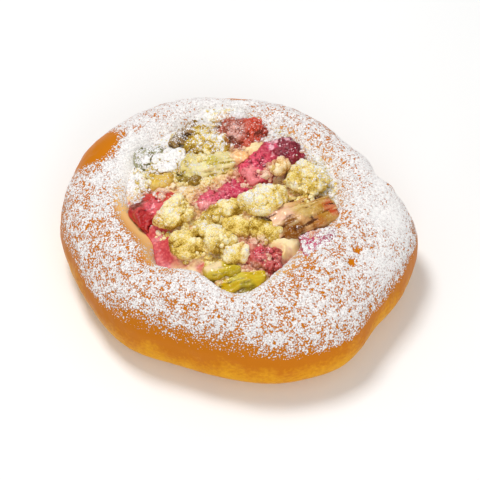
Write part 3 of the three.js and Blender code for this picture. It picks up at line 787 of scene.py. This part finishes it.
def dust(piece, cover, seed, crests=0.5):
    """Keeps how much of a piece the icing sugar covers, most where it faces up and on its crests."""
    places, facing = points_of(piece), normals_of(piece)
    sifted = smoothstep(facing[:, 2], 0.15, 0.8) * (1 + 0.35 * lumpy(places, 3.2, seed + 80))
    lying = cover * sifted * (0.45 + 1.1 * crests)
    set_mark(piece, "cover", np.clip(lying, 0, 1))
    set_mark(piece, "powder", sieved(places, lying, 1.0, seed + 90))


def chiselled(piece, shown, cuts, depth, seed):
    """Cuts a piece's round skin flat: where the cuts show, and wherever the knife or the fork met it."""
    random = np.random.default_rng(seed)
    places = points_of(piece)
    centre = places.mean(axis=0)
    depth *= min(1, np.ptp(places, axis=0).max() / WIDE_PIECE)
    faces = []
    for around, above, cut in shown:
        turn, rise = math.radians(around), math.radians(above)
        level = math.cos(rise)
        faces.append(((math.cos(turn) * level, math.sin(turn) * level, math.sin(rise)), cut))
    for _ in range(cuts):
        towards = random.normal(size=3)
        towards[2] = abs(towards[2])
        faces.append((towards / np.linalg.norm(towards), depth * random.uniform(0.4, 1)))
    for towards, cut in faces:
        reach = (places - centre) @ towards
        beyond = np.maximum(reach - reach.max() + cut, 0)
        places = places - 0.9 * np.outer(beyond, towards)
    move_points(piece, places)


def flesh_colours(node, places, along, left, right):
    """The colour of a stalk's flesh at each point, from end to end and in its spots, some of them painted
    highlights and painted shade.
    """
    share = along[:, None]
    flesh = (1 - share) * np.array(linear(left)) + share * np.array(linear(right))
    for x, y, radius, code in FLESH_SPOTS_HIGHLIGHTS_AND_SHADE.get(node, ()):
        wander = 0.9 * lumpy(places, 2.0, 31) + 0.5 * lumpy(places, 0.9, 32)
        away = np.hypot(places[:, 0] - x, places[:, 1] - y) + wander
        share = (1 - smoothstep(away, 0.6 * radius, 1.1 * radius))[:, None]
        flesh = (1 - share) * flesh + share * np.array(linear(code))
    return flesh


def make_stalks(look, sugar):
    """Every chunk of rhubarb: the solid, softened and cut, ribbed by its fibres, which draw together
    towards one end, and broken into juicy grains and shards."""
    for seed, (node, (left, right, shade, fibre, powder, fibrous, grainy)) in enumerate(STALKS.items()):
        stalk = fine_copy(node, node + "_chunk", look.mesh_size, 6)
        chiselled(stalk, FLAT_CUTS.get(node, ()), look.cuts, look.cut_depth, seed)
        places, facing = points_of(stalk), normals_of(stalk)
        axes = long_axes(places)
        lengthwise = (places - places.mean(axis=0)) @ (axes * np.where(axes[0, 0] < 0, -1, 1)).T
        reach = np.abs(lengthwise[:, 0]).max()
        fan = 1.2 - 0.55 * lengthwise[:, :1] / reach
        fibres = lumpy(lengthwise / np.hstack([fan**0, fan, fan]), np.array([11.0, 0.75, 0.75]), seed)
        grains = cells(places, 1.2, seed + 40)
        shards = cells(places, 2.8, seed + 60, angular=True)
        folds = lumpy(places, 2.2, seed + 20) + 0.9 * lumpy(places, 4.4, seed + 21)
        push = look.swell + look.fold_depth * folds + look.fibre_depth * fibrous * fibres
        push += grainy * (look.grain_depth * (grains - 0.5) + look.shard_depth * (shards - 0.4))
        move_points(stalk, places + facing * push[:, None])
        rise = rise_of(places)
        # juicy is high on the crests of grains and shards: the marks below paint light on them and shade in
        # their cracks
        juicy = grainy * (0.6 * (grains - 0.45) + 0.5 * (shards - 0.4))
        shaded_grooves = fibrous * smoothstep(-fibres, 0.1, 0.7)
        # streak: the real paler fibres, plus painted light on the crests
        set_mark(stalk, "streak", np.clip(0.12 + 0.9 * fibrous * fibres + 1.1 * juicy, 0, 1))
        # Painted shade: deep is highest low on the chunk, in the hollows of the folds, in the cracks and in
        # the grooves
        deep = 0.66 - 0.9 * rise - 0.25 * folds - 0.9 * juicy + 0.6 * shaded_grooves
        set_mark(stalk, "depth", np.clip(deep, 0, 1))
        along = smoothstep(lengthwise[:, 0] + 1.5 * folds, -0.5 * reach, 0.5 * reach)
        set_colour(stalk, "flesh", flesh_colours(node, places, along, left, right))
        dust(stalk, powder, seed)
        wet = max(0, 0.7 - 3 * powder) * (1 - 0.85 * fibrous)
        slot = next(slot for slot, kinds in STALK_SLOTS.items() if node.split("_")[1] in kinds)
        finish_piece(stalk, slot, stewed_stalk(node, shade, fibre, grainy, wet, look, sugar), node)


JUICE_ON_LUMPS, JUICE_ON_CRUMBS = 2.5, 3.0  # how far red juice has soaked into each


def soaked(places, reach):
    """How wet with red juice each place is: 1 at a red stalk's skin and 0 at a reach in millimetres."""
    reds = tree_of([bpy.data.objects[f"rhubarb_{kind}_chunk"] for kind in STALK_SLOTS["red_rhubarb"]])
    gaps = [reds.find_nearest(Vector(place), reach)[3] for place in places]
    return np.array([0.0 if gap is None else 1 - gap / reach for gap in gaps])


def craggy(places, seed):
    """Relief of baked crumble, from cracks below 0 to crests above 0: uneven blocks and sandy grains with
    flat faces, and a few sharp cracks."""
    bent = places + 0.6 * np.stack([lumpy(places, 1.4, seed + 20 + axis) for axis in range(3)], axis=1)
    broad = lumpy(places, 3.0, seed) + 0.7 * lumpy(places, 1.7, seed + 1)
    cracks = smoothstep(np.abs(lumpy(places, 3.4, seed + 3)), 0.12, 0.0)
    loose = 0.4 + 0.6 * smoothstep(lumpy(places, 3.8, seed + 4), -0.3, 0.4)
    blocks = cells(bent, 2.3, seed + 7, angular=True) - 0.4
    grains = cells(bent, 0.75, seed + 5, angular=True) - 0.4
    sand = lumpy(places, 0.5, seed + 6)
    return 0.5 * broad - 0.5 * cracks + 0.3 * blocks + 0.42 * loose * grains + 0.2 * sand


def make_lumps(look, material):
    """Every lump of crumble: the solid, cut into slabs and covered in crags and crumbs."""
    for seed, (node, powder) in enumerate(LUMPS.items()):
        lump = fine_copy(node, node + "_lump", look.mesh_size, 1)
        chiselled(lump, FLAT_CUTS.get(node, ()), look.cuts, look.cut_depth, 100 + seed)
        places, facing = points_of(lump), normals_of(lump)
        relief = craggy(places, 100 + seed)
        push = look.swell + look.crag_depth * relief
        move_points(lump, places + facing * push[:, None])
        rise = rise_of(places)
        # Painted light and shade: paler on the crests and high on the lump, darker in the cracks and low
        # down; BROWN_LUMPS darkens whole lumps as baked
        pale = 0.1 + 0.55 * relief + 0.6 * rise - BROWN_LUMPS.get(node, 0)
        set_mark(lump, "crag", np.clip(pale, 0, 1))
        wet = 0.4 if node in WET_LUMPS else 0
        set_mark(lump, "juice", np.clip(wet + 0.6 * soaked(places, JUICE_ON_LUMPS) * (0.9 - relief), 0, 1))
        dust(lump, powder, 100 + seed, np.clip(0.5 + relief, 0, 1))
        finish_piece(lump, "crumble", material, node)


def make_curd(look, sugar, filling):
    """The curd: a shallow dome that rises a little against each piece that is sunk in it."""
    angle = np.linspace(-np.pi, np.pi, CURD_SIDES, endpoint=False)
    pocket = pocket_radius(angle)
    edge = pocket - 0.05
    under = [(share * (pocket - 3 * POCKET_WALL), 0 * angle + POCKET_FLOOR + 0.2) for share in (0.02, 0.5, 1)]
    under.append((pocket - POCKET_WALL, 0 * angle + POCKET_FLOOR + 4.2))
    shares = np.linspace(1, 0.01, CURD_RINGS)
    rings = under + [(edge * share, curd_height(angle, share) - 0.1) for share in shares]
    radius, points = from_rings(rings, angle)
    curd = mesh_object("curd_filling", points.reshape(-1, 3), ring_faces(*radius.shape))
    close_ends(curd, radius.shape)
    places = points_of(curd)
    on_top = np.repeat(np.arange(len(rings)) >= len(under), CURD_SIDES)
    sunk = tree_of(filling)
    reach = 4.0
    gap = np.full(len(places), reach)
    for i in np.flatnonzero(on_top):
        near = sunk.find_nearest(Vector(places[i]), reach)
        if near[0] is not None:
            gap[i] = near[3]
    shares_out = radius.ravel() / np.tile(pocket, len(rings))
    free = 1 - smoothstep(shares_out, 0.93, 1.0)
    smooth, swollen = np.zeros(len(places)), np.zeros(len(places))
    for x, y, radius_here, bulge in SMOOTH_CURD:
        away = np.hypot(places[:, 0] - x, places[:, 1] - y)
        within = 1 - smoothstep(away, 0.6 * radius_here, 1.2 * radius_here)
        smooth = np.maximum(smooth, within)
        swollen += bulge * within
    crumbly = (1 - smooth) * free
    rise = look.meniscus * np.exp(-gap / 1.3) * free + 0.4 * lumpy(places, 4, 1) * free
    rise += swollen * free + crumbly * (0.5 * cells(places, 1.5, 2) + 0.3 * lumpy(places, 0.9, 3))
    around = np.tile(angle, len(rings))
    heap = np.maximum.reduce([bump(around, 105, 115), bump(around, 15, 60), 0.85 * bump(around, 162, 34)])
    heap = heap * smoothstep(shares_out, 0.55, 0.85)
    sunken_edge = 1 - smoothstep(shares_out, 0.90, 1.0)
    rough = 1.1 + 0.9 * lumpy(places, 3.6, 5) + 0.6 * cells(places, 1.6, 6) + 0.3 * lumpy(places, 0.9, 7)
    rise += heap * sunken_edge * rough * smoothstep(gap, -0.5, 2.5)
    places[:, 2] += rise * on_top
    move_points(curd, places)
    by_wall = smoothstep(shares_out, 0.62, 0.9)
    stain = by_wall * np.maximum(bump(around, -150, 62), 0.6 * bump(around, -108, 30))
    stain += 0.5 * bump(around, -60, 26) * smoothstep(shares_out, 0.5, 0.8)
    stain += 0.75 * np.exp(-((places[:, 0] - 1) ** 2 + (places[:, 1] - 6) ** 2) / 60)
    set_mark(curd, "stain", np.clip(stain + 0.15 * lumpy(places, 3, 11), 0, 1))
    set_mark(curd, "crumbly", crumbly)
    set_mark(curd, "beside", np.exp(-gap / 0.8) * crumbly * on_top)
    cover = np.clip(1.3 * heap, 0, 0.97)
    set_mark(curd, "cover", cover)
    set_mark(curd, "powder", sieved(places, cover, 1.2, 60))
    finish_piece(curd, "curd", set_curd(look, sugar), "curd")


def blob(detail):
    """Points and triangles of a ball: an octahedron whose triangles are split in four, detail times."""
    points = [(1, 0, 0), (-1, 0, 0), (0, 1, 0), (0, -1, 0), (0, 0, 1), (0, 0, -1)]
    faces = [(0, 2, 4), (2, 1, 4), (1, 3, 4), (3, 0, 4), (2, 0, 5), (1, 2, 5), (3, 1, 5), (0, 3, 5)]
    points = [Vector(p) for p in points]
    for _ in range(detail):
        middles, split = {}, []
        for face in faces:
            mids = []
            for a, b in zip(face, face[1:] + face[:1]):
                key = (min(a, b), max(a, b))
                if key not in middles:
                    middles[key] = len(points)
                    points.append((points[a] + points[b]).normalized())
                mids.append(middles[key])
            split += [(face[0], mids[0], mids[2]), (face[1], mids[1], mids[0]),
                      (face[2], mids[2], mids[1]), tuple(mids)]
        faces = split
    return np.array(points), np.array(faces)


def turned_frames(facing, random):
    """For each direction a frame whose third axis it is, turned about it at random. Frames x 3 x 3."""
    helper = np.where(np.abs(facing[:, 2:]) < 0.9, [[0, 0, 1.0]], [[1.0, 0, 0]])
    side = np.cross(helper, facing)
    side /= np.linalg.norm(side, axis=1, keepdims=True)
    other = np.cross(facing, side)
    turn = random.uniform(0, 2 * np.pi, len(facing))[:, None]
    first = np.cos(turn) * side + np.sin(turn) * other
    return np.stack([first, np.cross(facing, first), facing], axis=1)


def strew(name, seats, facing, sizes, detail, flatness, random, roughen=0.0, smooth=True):
    """One mesh of many small clumps, each seated on the skin below it."""
    ball, faces = blob(detail)
    frames = turned_frames(facing, random)
    stretch = random.uniform(0.75, 1.3, (len(seats), 3)) * np.array([1, 1, flatness])
    local = ball[None] * stretch[:, None] * sizes[:, None, None] / 2
    if roughen:
        bumps = lumpy((ball[None] * 1.1 + 7.3 * np.arange(len(seats))[:, None, None]).reshape(-1, 3), 0.9, 5)
        local *= 1 + roughen * bumps.reshape(len(seats), len(ball), 1)
    points = np.einsum("nij,njk->nik", local, frames) + seats[:, None]
    corners = faces[None] + len(ball) * np.arange(len(seats))[:, None, None]
    return mesh_object(name, points.reshape(-1, 3), corners.reshape(-1, 3), smooth=smooth)


def covered_area(piece):
    """How much of a piece's skin icing sugar covers, in square millimetres."""
    areas, covers = read_all(piece.data.polygons, "area")[:, 0], get_mark(piece, "cover")
    first = np.array([face.vertices[0] for face in piece.data.polygons])
    return float((areas / MM**2 * covers[first]).sum())


def skin_samples(piece, count, random, weigh="cover"):
    """Random places on a piece's skin, densest where a mark is highest, with the skin's direction and its
    powder mark there."""
    mesh = piece.data
    mesh.calc_loop_triangles()
    corners = np.zeros(3 * len(mesh.loop_triangles), np.int32)
    mesh.loop_triangles.foreach_get("vertices", corners)
    corners = corners.reshape(-1, 3)
    places, facing, powder = points_of(piece), normals_of(piece), get_mark(piece, "powder")[:, None]
    a, b, c = (places[corners[:, i]] for i in range(3))
    weight = np.linalg.norm(np.cross(b - a, c - a), axis=1) * get_mark(piece, weigh)[corners].mean(axis=1)
    chosen = random.choice(len(corners), count, p=weight / weight.sum())
    mix = random.dirichlet((1, 1, 1), count)
    seats, direction, levels = (
        np.einsum("ni,nij->nj", mix, values[corners[chosen]]) for values in (places, facing, powder))
    direction /= np.linalg.norm(direction, axis=1, keepdims=True)
    return seats, direction, levels[:, 0]


def open_to_sky(seats, roof):
    """True for each seat with nothing above it."""
    up = Vector((0, 0, 1))
    return np.array([roof.ray_cast(Vector(seat) + 0.6 * up, up)[0] is None for seat in seats], bool)


def sift(name, skins, count, least, size, spread, look, material, random, roof):
    """One mesh of clumps of icing sugar on some skins, where the powder mark passes a level."""
    areas = np.array([covered_area(skin) for skin in skins])
    counts = (4 * count * areas / areas.sum()).astype(int)
    samples = [skin_samples(skin, each, random) for skin, each in zip(skins, counts) if each]
    seats, facing, level = (np.concatenate([sample[i] for sample in samples]) for i in range(3))
    lying = np.flatnonzero(level > least)
    lying = random.permutation(lying)[:int(1.3 * count)]
    kept = lying[open_to_sky(seats[lying], roof)][:count]
    sizes = size * look.clump_size * random.uniform(*spread, len(kept)) ** 1.4
    clumps = strew(name, seats[kept], facing[kept], sizes, 0, 0.6, random)
    finish_piece(clumps, "icing_sugar", material)


def make_sugar(look, material, crust, filling):
    """Icing sugar that shows as clumps: lacy on the dough, in flecks on what fills the pocket."""
    random = np.random.default_rng(7)
    roof = tree_of(filling)
    sift("icing_sugar_clumps", [crust], look.clumps, 0.05, 1.0, (0.5, 1.2), look, material, random, roof)
    sift("icing_sugar_specks", [crust], look.specks, -0.2, 0.55, (0.6, 1.2), look, material, random, roof)
    sift("icing_sugar_on_filling", filling, look.flecks, 0.0, 0.8, (0.5, 1.1), look, material, random, roof)


ABOVE_ALL = 60  # a height that nothing reaches


def make_crumbs(look, material, filling):
    """Loose crumbs: strewn over the lumps, and filling the gaps between the pieces."""
    random = np.random.default_rng(11)
    ground = tree_of(filling)
    seats, facing = [], []
    for x, y, spread, count in CRUMB_SPOTS:
        for _ in range(count):
            over = Vector((x + random.normal(0, spread * 0.6), y + random.normal(0, spread * 0.6), ABOVE_ALL))
            seat, normal, _, _ = ground.ray_cast(over, Vector((0, 0, -1)))
            if seat is not None:
                seats.append(seat)
                facing.append(normal)
    low, low_facing, _ = skin_samples(bpy.data.objects["curd_filling"], look.rubble, random, "beside")
    seats, facing = np.concatenate([seats, low]), np.concatenate([facing, low_facing])
    sizes = look.crumb_size * np.clip(random.lognormal(-0.1, 0.42, len(seats)), 0.3, 2.2)
    crumbs = strew("loose_crumbs", seats, facing, sizes, 1, 0.75, random, roughen=0.5, smooth=False)
    places = points_of(crumbs)
    each = len(places) // len(seats)
    tone = np.repeat(random.uniform(0.35, 0.85, len(seats)), each)
    # On loose crumbs the mark is a random tone for each crumb, with no painted shade
    set_mark(crumbs, "crag", np.clip(tone + 0.3 * lumpy(places, 0.8, 12), 0, 1))
    set_mark(crumbs, "juice", np.repeat(np.clip(1.2 * soaked(seats, JUICE_ON_CRUMBS), 0, 1), each))
    outer = np.hypot(places[:, 0] - MIDDLE[0], places[:, 1] - MIDDLE[1]) + 0.3 * places[:, 1]
    dust(crumbs, 0.10 + 0.80 * smoothstep(outer, 21, 30), 200)
    finish_piece(crumbs, "crumble", material)


# ---- Settings ------------------------------------------------------------------------------------------


def colour_setting(name, description, code):
    """A colour that a user can change."""
    return FloatVectorProperty(name=name, description=description, default=linear(code), size=4,
                               subtype="COLOR", min=0, max=1)


def length_setting(name, description, default, high, low=0):
    """A length in millimetres that a user can change."""
    return FloatProperty(name=name, description=description + ", in millimetres", default=default, min=low,
                         max=high)


def roughness_setting(description, default):
    """How rough a surface is."""
    return FloatProperty(name="Roughness", description=description, default=default, min=0, max=1,
                         subtype="FACTOR")


def count_setting(name, description, default, high):
    """A number of like things that a user can change."""
    return IntProperty(name=name, description=description, default=default, min=0, max=high)


class BunCrustSettings(bpy.types.PropertyGroup):
    """Looks of the baked dough."""

    foot_colour: colour_setting("Foot", "Golden crust near the base", "#e6a61a")
    side_colour: colour_setting("Side", "Crust half way up the side", "#c8740c")
    top_colour: colour_setting("Top", "Brownest crust, on the shoulder", "#c8740a")
    pale_colour: colour_setting("Inner slope", "Pale dough beside the filling", "#fcd690")
    roughness: roughness_setting("Roughness of the bare crust", 0.42)
    powder_relief: length_setting("Powder relief", "Relief of the powder", 0.16, 1)


class BunCurdSettings(bpy.types.PropertyGroup):
    """Looks of the curd."""

    custard_colour: colour_setting("Curd", "Clean curd", "#f8dea6")
    sandy_colour: colour_setting("Crumbs", "Fine crumbs strewn on the curd", "#ecc48c")
    juice_colour: colour_setting("Juice", "Curd soaked in rhubarb juice", "#cc4048")
    roughness: roughness_setting("Roughness of the moist curd", 0.38)
    meniscus: length_setting("Rise", "How far the curd climbs up a piece", 1.7, 3)


class BunRhubarbSettings(bpy.types.PropertyGroup):
    """Form and looks of the rhubarb."""

    mesh_size: length_setting("Mesh size", "Edge length of the fine mesh", 0.32, 2, 0.2)
    swell: length_setting("Swell", "How far a chunk swells beyond its solid", 0.15, 1)
    fold_depth: length_setting("Fold depth", "Depth of the soft folds", 0.45, 1)
    fibre_depth: length_setting("Fibre depth", "Depth of the fibres", 0.36, 1)
    grain_depth: length_setting("Grain depth", "Depth of the juicy grains", 0.45, 1)
    shard_depth: length_setting("Shard depth", "Depth of the angular shards", 1.7, 2)
    cuts: count_setting("Cuts", "Number of flat cuts on a chunk", 7, 20)
    cut_depth: length_setting("Cut depth", "Depth of the deepest cut", 1.4, 3)
    roughness: roughness_setting("Roughness of the wet flesh", 0.10)


class BunCrumbleSettings(bpy.types.PropertyGroup):
    """Form and looks of the crumble."""

    mesh_size: length_setting("Mesh size", "Edge length of the fine mesh", 0.285, 2, 0.2)
    swell: length_setting("Swell", "How far a lump swells beyond its solid", 0.5, 1)
    crag_depth: length_setting("Crag depth", "Height of the crags", 1.0, 2)
    cuts: count_setting("Cuts", "Number of flat faces on a lump", 5, 20)
    cut_depth: length_setting("Cut depth", "Depth of the deepest cut", 1.1, 3)
    rubble: count_setting("Rubble", "Number of crumbs between the pieces", 1700, 5000)
    crumb_size: length_setting("Crumb size", "Mean size of a loose crumb", 1.1, 4, 0.5)
    # Painted shade in the cracks, painted light on the crests
    crack_shade_colour: colour_setting("Cracks", "Crumble deep in its cracks", "#9c740c")
    crumb_colour: colour_setting("Crumb", "Most of the crumble", "#e8ca66")
    lit_crest_colour: colour_setting("Crests", "Dry crests of the crumble", "#fbf0c6")
    roughness: roughness_setting("Roughness of the dry crumble", 0.8)


class BunSugarSettings(bpy.types.PropertyGroup):
    """Icing sugar."""

    sugar_colour: colour_setting("Sugar", "Dry icing sugar", "#fefcfa")
    clumps: count_setting("Clumps", "Number of clumps on the dough", 20000, 24500)
    specks: count_setting("Specks", "Number of fine specks on the dough", 16400, 24500)
    flecks: count_setting("Flecks", "Number of flecks on the filling", 15200, 24500)
    clump_size: length_setting("Clump size", "Mean size of a clump", 0.55, 2, 0.2)


class BunStageSettings(bpy.types.PropertyGroup):
    """Camera and light."""

    elevation: FloatProperty(name="Elevation", description="Height of the camera's view above level",
                             default=math.radians(50), subtype="ANGLE", unit="ROTATION")
    distance: FloatProperty(name="Distance", description="Camera to bun", default=0.511, subtype="DISTANCE",
                            unit="LENGTH")
    lens: FloatProperty(name="Focal length", description="Focal length of the lens", default=120,
                        subtype="DISTANCE_CAMERA")
    sky: FloatProperty(name="Studio light", description="Strength of the even light", default=0.41, min=0)
    key_power: FloatProperty(name="Key light", description="Power of the large soft light in watts",
                             default=3.25, min=0)
    fill_power: FloatProperty(name="Fill light", description="Power of the light in front, in watts",
                              default=2.0, min=0)


class BunSettings(bpy.types.PropertyGroup):
    """All settings of the bun."""

    crust: PointerProperty(type=BunCrustSettings)
    curd: PointerProperty(type=BunCurdSettings)
    rhubarb: PointerProperty(type=BunRhubarbSettings)
    crumble: PointerProperty(type=BunCrumbleSettings)
    sugar: PointerProperty(type=BunSugarSettings)
    stage: PointerProperty(type=BunStageSettings)


# ---- Operators -----------------------------------------------------------------------------------------


def filling_pieces():
    """The pieces in the pocket, as objects, in the order in which they were made."""
    endings = ("_chunk", "_lump", "curd_filling", "loose_crumbs")
    return [piece for piece in bpy.context.scene.objects if piece.name.endswith(endings)]


class BUN_OT_rhubarb(bpy.types.Operator):
    """Add the chunks of baked rhubarb"""

    bl_idname = "bun.rhubarb"
    bl_label = "Add Rhubarb"

    def execute(self, context):
        settings = context.scene.bun
        make_stalks(settings.rhubarb, tuple(settings.sugar.sugar_colour))
        return {"FINISHED"}


class BUN_OT_crumble(bpy.types.Operator):
    """Add the lumps of butter crumble"""

    bl_idname = "bun.crumble"
    bl_label = "Add Crumble"

    def execute(self, context):
        settings = context.scene.bun
        sugar = tuple(settings.sugar.sugar_colour)
        make_lumps(settings.crumble, butter_crumble(settings.crumble, sugar))
        return {"FINISHED"}


class BUN_OT_curd(bpy.types.Operator):
    """Add the curd, fitted round the pieces that are in it"""

    bl_idname = "bun.curd"
    bl_label = "Add Curd"

    def execute(self, context):
        settings = context.scene.bun
        make_curd(settings.curd, tuple(settings.sugar.sugar_colour), filling_pieces())
        return {"FINISHED"}


class BUN_OT_crumbs(bpy.types.Operator):
    """Strew loose crumbs between the lumps of crumble"""

    bl_idname = "bun.crumbs"
    bl_label = "Add Loose Crumbs"

    def execute(self, context):
        material = bpy.data.materials["Baked butter crumble"]
        make_crumbs(context.scene.bun.crumble, material, filling_pieces())
        return {"FINISHED"}


class BUN_OT_crust(bpy.types.Operator):
    """Add the baked dough"""

    bl_idname = "bun.crust"
    bl_label = "Add Crust"

    def execute(self, context):
        settings = context.scene.bun
        make_crust(settings.crust, tuple(settings.sugar.sugar_colour))
        return {"FINISHED"}


class BUN_OT_sugar(bpy.types.Operator):
    """Dust the bun with icing sugar"""

    bl_idname = "bun.sugar"
    bl_label = "Dust with Icing Sugar"

    def execute(self, context):
        look = context.scene.bun.sugar
        make_sugar(look, icing_sugar(look), bpy.data.objects["bun_crust"], filling_pieces())
        return {"FINISHED"}


class BUN_OT_stage(bpy.types.Operator):
    """Add the board, the lights and the camera"""

    bl_idname = "bun.stage"
    bl_label = "Add Stage"

    def execute(self, context):
        scene, look = context.scene, context.scene.bun.stage
        corners = [(-BOARD, -BOARD, 0), (BOARD, -BOARD, 0), (BOARD, BOARD, 0), (-BOARD, BOARD, 0)]
        board = mesh_object("board", corners, [(0, 1, 2, 3)], smooth=False)
        board.data.materials.append(matt_board())
        add_camera(scene, look)
        add_light("key", KEY_PLACE, look.key_power, KEY_SIZE)
        add_light("fill", FILL_PLACE, look.fill_power, FILL_SIZE)
        world = bpy.data.worlds.new("Studio")
        world.use_nodes = True
        sky = world.node_tree.nodes["Background"].inputs
        sky["Color"].default_value = linear("#ffffff")
        sky["Strength"].default_value = look.sky
        scene.world = world
        scene.view_settings.view_transform = "Standard"
        return {"FINISHED"}


def add_camera(scene, look):
    """The camera in front of the bun, looking down on it."""
    camera = bpy.data.objects.new("camera", bpy.data.cameras.new("camera"))
    scene.collection.objects.link(camera)
    back = Vector((0, -math.cos(look.elevation), math.sin(look.elevation)))
    camera.location = AIM + look.distance * back
    camera.rotation_euler = (-back).to_track_quat("-Z", "Y").to_euler()
    camera.data.lens = look.lens
    camera.data.sensor_width = 36
    camera.data.clip_start = 0.01
    scene.camera = camera


def add_light(name, place, power, size):
    """A square soft light that looks at the bun."""
    light = bpy.data.lights.new(name, "AREA")
    light.energy = power
    light.size = size
    lamp = bpy.data.objects.new(name, light)
    bpy.context.scene.collection.objects.link(lamp)
    lamp.location = place
    lamp.rotation_euler = (AIM - Vector(place)).to_track_quat("-Z", "Y").to_euler()


STEPS = ("rhubarb", "crumble", "curd", "crumbs", "crust", "sugar", "stage")


class BUN_PT_panel(bpy.types.Panel):
    """The bun's steps and settings."""

    bl_idname = "BUN_PT_panel"
    bl_label = "Sweet Bun"
    bl_space_type = "VIEW_3D"
    bl_region_type = "UI"
    bl_category = "Sweet Bun"

    def draw(self, context):
        settings = context.scene.bun
        for step in STEPS:
            self.layout.operator("bun." + step)
        for name in BunSettings.__annotations__:
            box = self.layout.box()
            box.label(text=name.capitalize())
            group = getattr(settings, name)
            for setting in group.__annotations__:
                box.prop(group, setting)


CLASSES = (
    BunCrustSettings, BunCurdSettings, BunRhubarbSettings, BunCrumbleSettings, BunSugarSettings,
    BunStageSettings, BunSettings, BUN_OT_rhubarb, BUN_OT_crumble, BUN_OT_curd, BUN_OT_crumbs,
    BUN_OT_crust, BUN_OT_sugar, BUN_OT_stage, BUN_PT_panel,
)


def register():
    """Makes the settings, operators and panel known to Blender."""
    for each in CLASSES:
        bpy.utils.register_class(each)
    bpy.types.Scene.bun = PointerProperty(type=BunSettings)


def unregister():
    """Takes them away again."""
    del bpy.types.Scene.bun
    for each in reversed(CLASSES):
        bpy.utils.unregister_class(each)


def main():
    """Builds the bun and its stage step by step."""
    register()
    for step in STEPS:
        getattr(bpy.ops.bun, step)()


if __name__ == "__main__":
    main()
